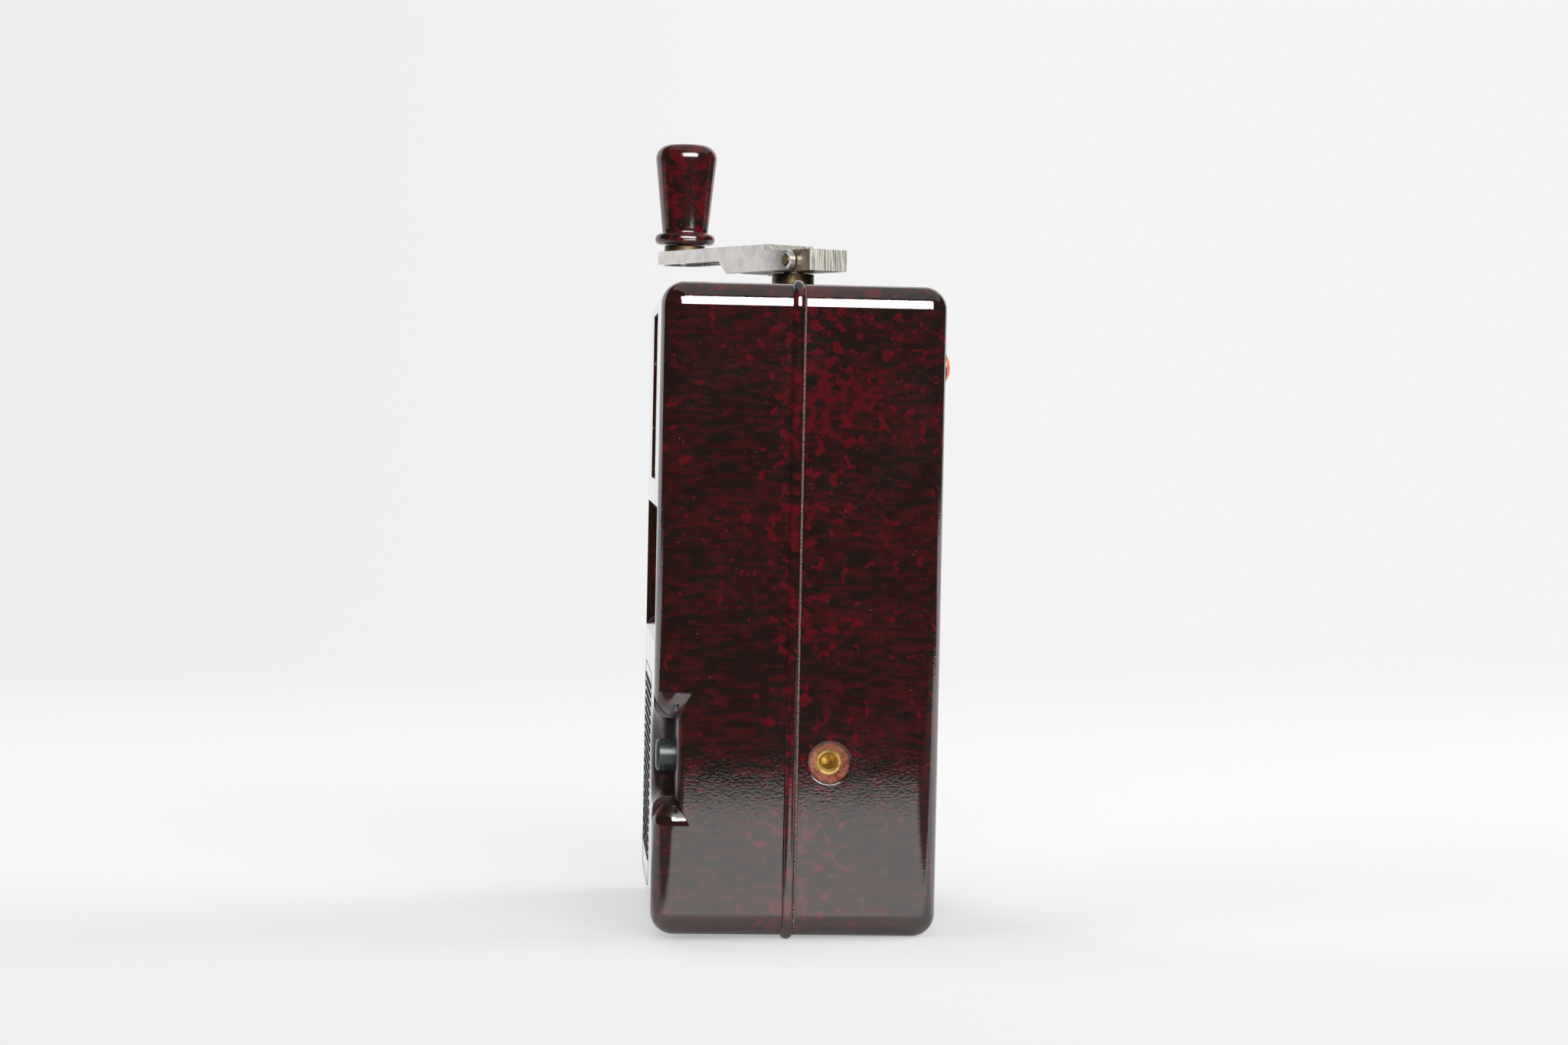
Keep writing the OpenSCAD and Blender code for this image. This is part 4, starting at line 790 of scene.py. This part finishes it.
def polarQuads(name, angleLow, angleHigh, radiusLow, radiusHigh, steps):
    # one strip per row of the inputs, bent along its arc; angle 0 points up, positive to the right
    t = np.linspace(0, 1, steps)
    angle = angleLow[:, None] + (angleHigh - angleLow)[:, None] * t
    radius = np.stack([radiusLow, radiusHigh], 1)
    x = dial["centre"][0] + radius[:, :, None] * np.sin(angle)[:, None, :]
    z = dial["centre"][1] + radius[:, :, None] * np.cos(angle)[:, None, :]
    verts = np.stack([x, np.full_like(x, dialY), z], -1).reshape(-1, 3)
    faces = (np.arange(len(angleLow))[:, None, None] * 2 * steps + gridFaces(2, steps)[None]).reshape(-1, 4)
    return meshPiece(name, verts, faces[:, ::-1], smooth=False)


def dialMarks():
    place = np.linspace(-dial["sweep"], dial["sweep"], dial["ticks"])
    major = np.arange(dial["ticks"]) % dial["major"] == 0
    half = dial["line"] / 2 / dial["outer"] * np.where(major, dial["majorWide"], 1.0)
    inner = np.where(major, dial["inner"], dial["inner"] + dial["minorShort"])
    edge = np.array([dial["inner"], dial["outer"]])
    low = np.concatenate([place - half, np.full(2, -dial["sweep"])])
    high = np.concatenate([place + half, np.full(2, dial["sweep"])])
    near = np.concatenate([inner, edge - dial["line"]])
    far = np.concatenate([np.full(dial["ticks"], dial["outer"]), edge + dial["line"]])
    return polarQuads("dial_marks", low, high, near, far, dial["steps"])


def dialNumber(index, body):
    curve = bpy.data.curves.new("digits", "FONT")
    curve.body = body
    curve.size = dial["size"]
    curve.align_x = "CENTER"
    curve.resolution_u = dial["curveSteps"]
    text = link(bpy.data.objects.new("digits", curve))
    bpy.context.view_layer.update()
    mesh = bpy.data.meshes.new_from_object(text.evaluated_get(bpy.context.evaluated_depsgraph_get()))
    bpy.data.objects.remove(text)
    angle = -dial["sweep"] + 2 * dial["sweep"] * index / (len(dial["numbers"]) - 1)
    toCentre = Matrix.Translation((dial["centre"][0], dialY, dial["centre"][1]))
    outwards = Matrix.Rotation(angle, 4, "Y") @ Matrix.Translation((0, 0, dial["numberRadius"]))
    mesh.transform(toCentre @ outwards @ Matrix.Rotation(math.radians(90), 4, "X"))
    mesh.name = "dial_number_%d" % index
    return link(bpy.data.objects.new("dial_number_%d" % index, mesh))


dialPieces = [dialMarks()] + [dialNumber(i, body) for i, body in enumerate(dial["numbers"])]
for piece in dialPieces:
    setMaterial(piece, inkBlack)
    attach(piece, "case")
print("dial printed", len(dialPieces))


# Name plate: a plain raised border and a turning arrow in brass on black

plate = {
    "border": 1.6 * mm, "corner": 2.5 * mm, "line": 0.28 * mm, "rise": 0.16 * mm, "radius": 9.5 * mm,
    "width": 1.1 * mm, "gap": math.radians(70), "head": 3.0 * mm, "headWide": 0.62, "point": 0.0001 * mm,
    "steps": 60,
}
plateLow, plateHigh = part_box("name_plate")
plateY = plateLow.y


def turningArrow():
    # arc from gap to a full turn, the half width growing to the head and then falling to its point
    centre = ((plateLow.x + plateHigh.x) / 2, (plateLow.z + plateHigh.z) / 2)
    head = plate["head"] / plate["radius"]
    neck = 2 * np.pi - 2 * head
    shaft = np.linspace(plate["gap"], neck, plate["steps"])
    turn = np.concatenate([shaft, neck + np.array([0.001, 2 * head])])
    half = np.concatenate([np.full(plate["steps"], plate["width"] / 2),
                           [plate["head"] * plate["headWide"], plate["point"]]])
    radius = plate["radius"] + half[None, :] * np.array([-1.0, -0.8, 0.8, 1.0])[:, None]
    y = plateY - np.array([0.0, 1.0, 1.0, 0.0])[:, None] * plate["rise"] + np.zeros_like(radius)
    verts = np.stack([centre[0] + radius * np.cos(turn), y, centre[1] + radius * np.sin(turn)], -1)
    return meshPiece("turning_arrow", verts.reshape(-1, 3), gridFaces(4, len(turn)), smooth=False)


borderLow = (plateLow.x + plate["border"], plateLow.z + plate["border"])
borderHigh = (plateHigh.x - plate["border"], plateHigh.z - plate["border"])
borderLoop = roundedLoop(borderLow, borderHigh, plate["corner"])
plateBorder = loopStrip("plate_border", borderLoop, plateY, plate["rise"], plate["line"])
for piece in (turningArrow(), plateBorder):
    setMaterial(piece, brass)
    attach(piece, "case")
print("name plate marked")


# Stage: the case leans back on its bead, so the floor is tilted in the case's own frame

stage = {
    "lean": math.radians(1.15), "foot": (0, -1.5 * mm, 0), "below": 0.02 * mm,
    "front": 0.387, "near": -0.25, "half": 0.8, "back": -1.6, "left": -4.2, "right": 2.2,
    "rise": 1.6, "bend": 0.5, "bendSteps": 24, "apron": 5.0, "apronDrop": 1 * mm,
    "base": rgba(0.74, 0.74, 0.74), "rough": 0.85, "specular": 0.1, "shaded": 0.54,
    "behind": (-0.9, -0.15), "before": (0.04, 0.12, 1.0, 0.0), "beside": (0.45, 0.78, 1.0, 0.0),
    "across": (-0.5, 0.4), "whiteLeft": rgba(0.85, 0.852, 0.855), "whiteRight": rgba(0.90, 0.90, 0.903),
    "mirrored": rgba(1.0, 1.0, 1.0), "dim": rgba(0.10, 0.098, 0.098),
    "stripLow": (-0.11, -0.07), "stripHigh": (0.10, 0.15, 1.0, 0.0), "limit": (-0.02, 0.02, -0.10, 0.10),
    "rear": (-0.02, 0.02, 1.0, 0.0), "footAt": 0.053, "footEdge": (0.004, 0.03, 0.3, 1.0),
}
up = Vector((0, -math.sin(stage["lean"]), math.cos(stage["lean"])))
along = Vector((0, math.cos(stage["lean"]), math.sin(stage["lean"])))


def stageSheet(name, x, height, left, right, drop=0.0):
    # sheet swept sideways from a profile of points x and height above the floor
    s = np.array([left, 0.0, right])
    base = np.array(stage["foot"]) - np.array(up) * (stage["below"] + drop)
    profile = x[:, None, None] * np.array([1.0, 0, 0]) + height[:, None, None] * np.array(up)
    points = base + profile + s[None, :, None] * np.array(along)
    piece = meshPiece(name, points.reshape(-1, 3), gridFaces(len(x), len(s)))
    return piece


def stageMaterial(name, shaded):
    # white for the camera and in reflections, clear from below; near the object the real light and shadow
    # show through by the share shaded
    material, tree, shader = newMaterial(name)
    at = axes(tree, objectCoords(tree))
    shader.inputs["Base Color"].default_value = stage["base"]
    shader.inputs["Roughness"].default_value = stage["rough"]
    shader.inputs["Specular IOR Level"].default_value = stage["specular"]
    path = add(tree, "ShaderNodeLightPath")
    glossy = path.outputs["Is Glossy Ray"]
    mirrored = maths(tree, "MAXIMUM", glossy, path.outputs["Is Transmission Ray"])
    seen = maths(tree, "MAXIMUM", path.outputs["Is Camera Ray"], mirrored)
    behind = ramp(tree, at["X"], stage["behind"][0], stage["behind"][1], 0.0, shaded)
    before = ramp(tree, at["X"], *stage["before"])
    beside = ramp(tree, maths(tree, "ABSOLUTE", at["Y"]), *stage["beside"])
    share = minus(tree, 1.0, times(tree, behind, times(tree, before, beside)))
    # painted light falloff: the white is slightly darker towards the left
    across = ramp(tree, at["Y"], *stage["across"])
    white = mixColour(tree, across, stage["whiteLeft"], stage["whiteRight"])

    # in reflections the floor is white behind and straight before the case; elsewhere it is painted dim, a
    # painted shadow at the case's foot and painted shade at its sides
    strip = times(tree, ramp(tree, at["Y"], *stage["stripLow"]), ramp(tree, at["Y"], *stage["stripHigh"]))
    limit = ramp(tree, at["Y"], *stage["limit"])
    rear = ramp(tree, minus(tree, at["X"], limit), *stage["rear"])
    foot = ramp(tree, maths(tree, "ABSOLUTE", minus(tree, at["X"], stage["footAt"])), *stage["footEdge"])
    lit = times(tree, maths(tree, "MAXIMUM", strip, rear), foot)
    dim = times(tree, glossy, minus(tree, 1.0, lit))
    shine = mixColour(tree, glossy, white, stage["mirrored"])

    glow = add(tree, "ShaderNodeEmission")
    tree.links.new(mixColour(tree, dim, shine, stage["dim"]), glow.inputs["Color"])
    blend = add(tree, "ShaderNodeMixShader")
    tree.links.new(times(tree, seen, share), blend.inputs[0])
    tree.links.new(shader.outputs[0], blend.inputs[1])
    tree.links.new(glow.outputs[0], blend.inputs[2])
    below = add(tree, "ShaderNodeMixShader")
    tree.links.new(add(tree, "ShaderNodeNewGeometry").outputs["Backfacing"], below.inputs[0])
    tree.links.new(blend.outputs[0], below.inputs[1])
    tree.links.new(add(tree, "ShaderNodeBsdfTransparent").outputs[0], below.inputs[2])
    tree.links.new(below.outputs[0], tree.nodes["Material Output"].inputs["Surface"])
    return material


bend = stage["bend"]
bendTurn = np.linspace(0, np.pi / 2, stage["bendSteps"])
wallX = np.concatenate([[stage["near"]], stage["back"] - bend * np.sin(bendTurn), [stage["back"] - bend]])
wallHeight = np.concatenate([[0.0], bend - bend * np.cos(bendTurn), [stage["rise"] + bend]])
floorX = np.array([stage["front"], stage["near"]])
apronX = np.array([stage["apron"], -stage["apron"]])
studioFloor = stageSheet("studio_floor", floorX, np.zeros(2), -stage["half"], stage["half"])
studioWall = stageSheet("studio_wall", wallX, wallHeight, stage["left"], stage["right"])
studioApron = stageSheet("studio_apron", apronX, np.zeros(2), -stage["apron"], stage["apron"],
                         stage["apronDrop"])
for piece in (studioFloor, studioWall):
    setMaterial(piece, stageMaterial(piece.name + "White", stage["shaded"]))
setMaterial(studioApron, stageMaterial("apronWhite", 0.0))
studioApron.visible_glossy = False
studioApron.visible_diffuse = False
print("stage set")


# Camera: 4 degrees in front of square to the side, slightly above the middle, level with the floor

view = {
    "focalPx": 4100.0, "turn": math.radians(4.0), "pitch": math.radians(1.78), "distance": 0.820,
    "mark": (50 * mm, 8.5 * mm, 46.7 * mm), "markPx": (1083.5, 997.0), "width": 2048.0, "height": 1365.0,
    "sensor": 36.0, "clipStart": 0.01,
}
level = Vector((-math.cos(view["turn"]), math.sin(view["turn"]), 0))
level = (level - up * level.dot(up)).normalized()
ahead = (level * math.cos(view["pitch"]) - up * math.sin(view["pitch"])).normalized()
right = ahead.cross(up).normalized()
above = right.cross(ahead).normalized()
markRight = (view["markPx"][0] - view["width"] / 2) / view["focalPx"]
markDown = (view["markPx"][1] - view["height"] / 2) / view["focalPx"]
eye = Vector(view["mark"]) - (ahead + right * markRight - above * markDown) * view["distance"]
camera = link(bpy.data.objects.new("camera", bpy.data.cameras.new("camera")))
camera.data.sensor_width = view["sensor"]
camera.data.lens = view["sensor"] * view["focalPx"] / view["width"]
camera.data.clip_start = view["clipStart"]
camera.matrix_world = Matrix((
    (right.x, above.x, -ahead.x, eye.x),
    (right.y, above.y, -ahead.y, eye.y),
    (right.z, above.z, -ahead.z, eye.z),
    (0, 0, 0, 1),
))
bpy.context.scene.camera = camera
print("camera", [round(v, 4) for v in eye])


# Light: a softbox that only shows in reflections, a key in its place and fills that only light, a top light
# that does both, and a dim room

lamps = {
    "softbox": {"at": (1.36, 0.30, 0.82), "to": (0.03, 0.0, 0.12), "size": (1.60, 0.88),
                "watts": 62.0, "rays": "glossy"},
    "key": {"at": (1.36, 0.30, 0.82), "to": (0.03, 0.0, 0.12), "size": (1.60, 0.88),
            "watts": 28.0, "rays": "diffuse"},
    "fillFront": {"at": (0.35, -1.5, 0.75), "to": (0, 0, 0.1), "size": (1.3, 1.0),
                  "watts": 14.0, "rays": "diffuse"},
    "fillBack": {"at": (-0.3, 1.6, 0.8), "to": (0, 0, 0.1), "size": (1.3, 1.0),
                 "watts": 26.0, "rays": "diffuse"},
    "fillLeft": {"at": (-1.5, -0.5, 0.9), "to": (0, 0, 0.1), "size": (1.3, 1.0),
                 "watts": 22.0, "rays": "diffuse"},
    "top": {"at": (-0.25, 0.3, 1.5), "to": (-0.05, 0.0, 0.0), "size": (2.4, 2.4),
            "watts": 6.5, "rays": "both"},
}
for name, lamp in lamps.items():
    light = bpy.data.lights.new(name, "AREA")
    light.shape = "RECTANGLE"
    light.size, light.size_y = lamp["size"]
    light.energy = lamp["watts"]
    obj = link(bpy.data.objects.new(name, light))
    obj.location = lamp["at"]
    obj.visible_glossy = lamp["rays"] != "diffuse"
    obj.visible_diffuse = lamp["rays"] != "glossy"
    obj.visible_camera = False
    obj.rotation_euler = (Vector(lamp["to"]) - Vector(lamp["at"])).to_track_quat("-Z", "Y").to_euler()

room = {"dim": rgba(0.02, 0.02, 0.021), "seen": rgba(0.87, 0.871, 0.873)}
world = bpy.data.worlds.new("room")
bpy.context.scene.world = world
world.use_nodes = True
worldTree = world.node_tree
background = worldTree.nodes["Background"]
roomPath = add(worldTree, "ShaderNodeLightPath")
roomColour = mixColour(worldTree, roomPath.outputs["Is Camera Ray"], room["dim"], room["seen"])
worldTree.links.new(roomColour, background.inputs["Color"])
background.inputs["Strength"].default_value = 1.0
bpy.context.scene.view_settings.view_transform = "Standard"
print("light and camera set")
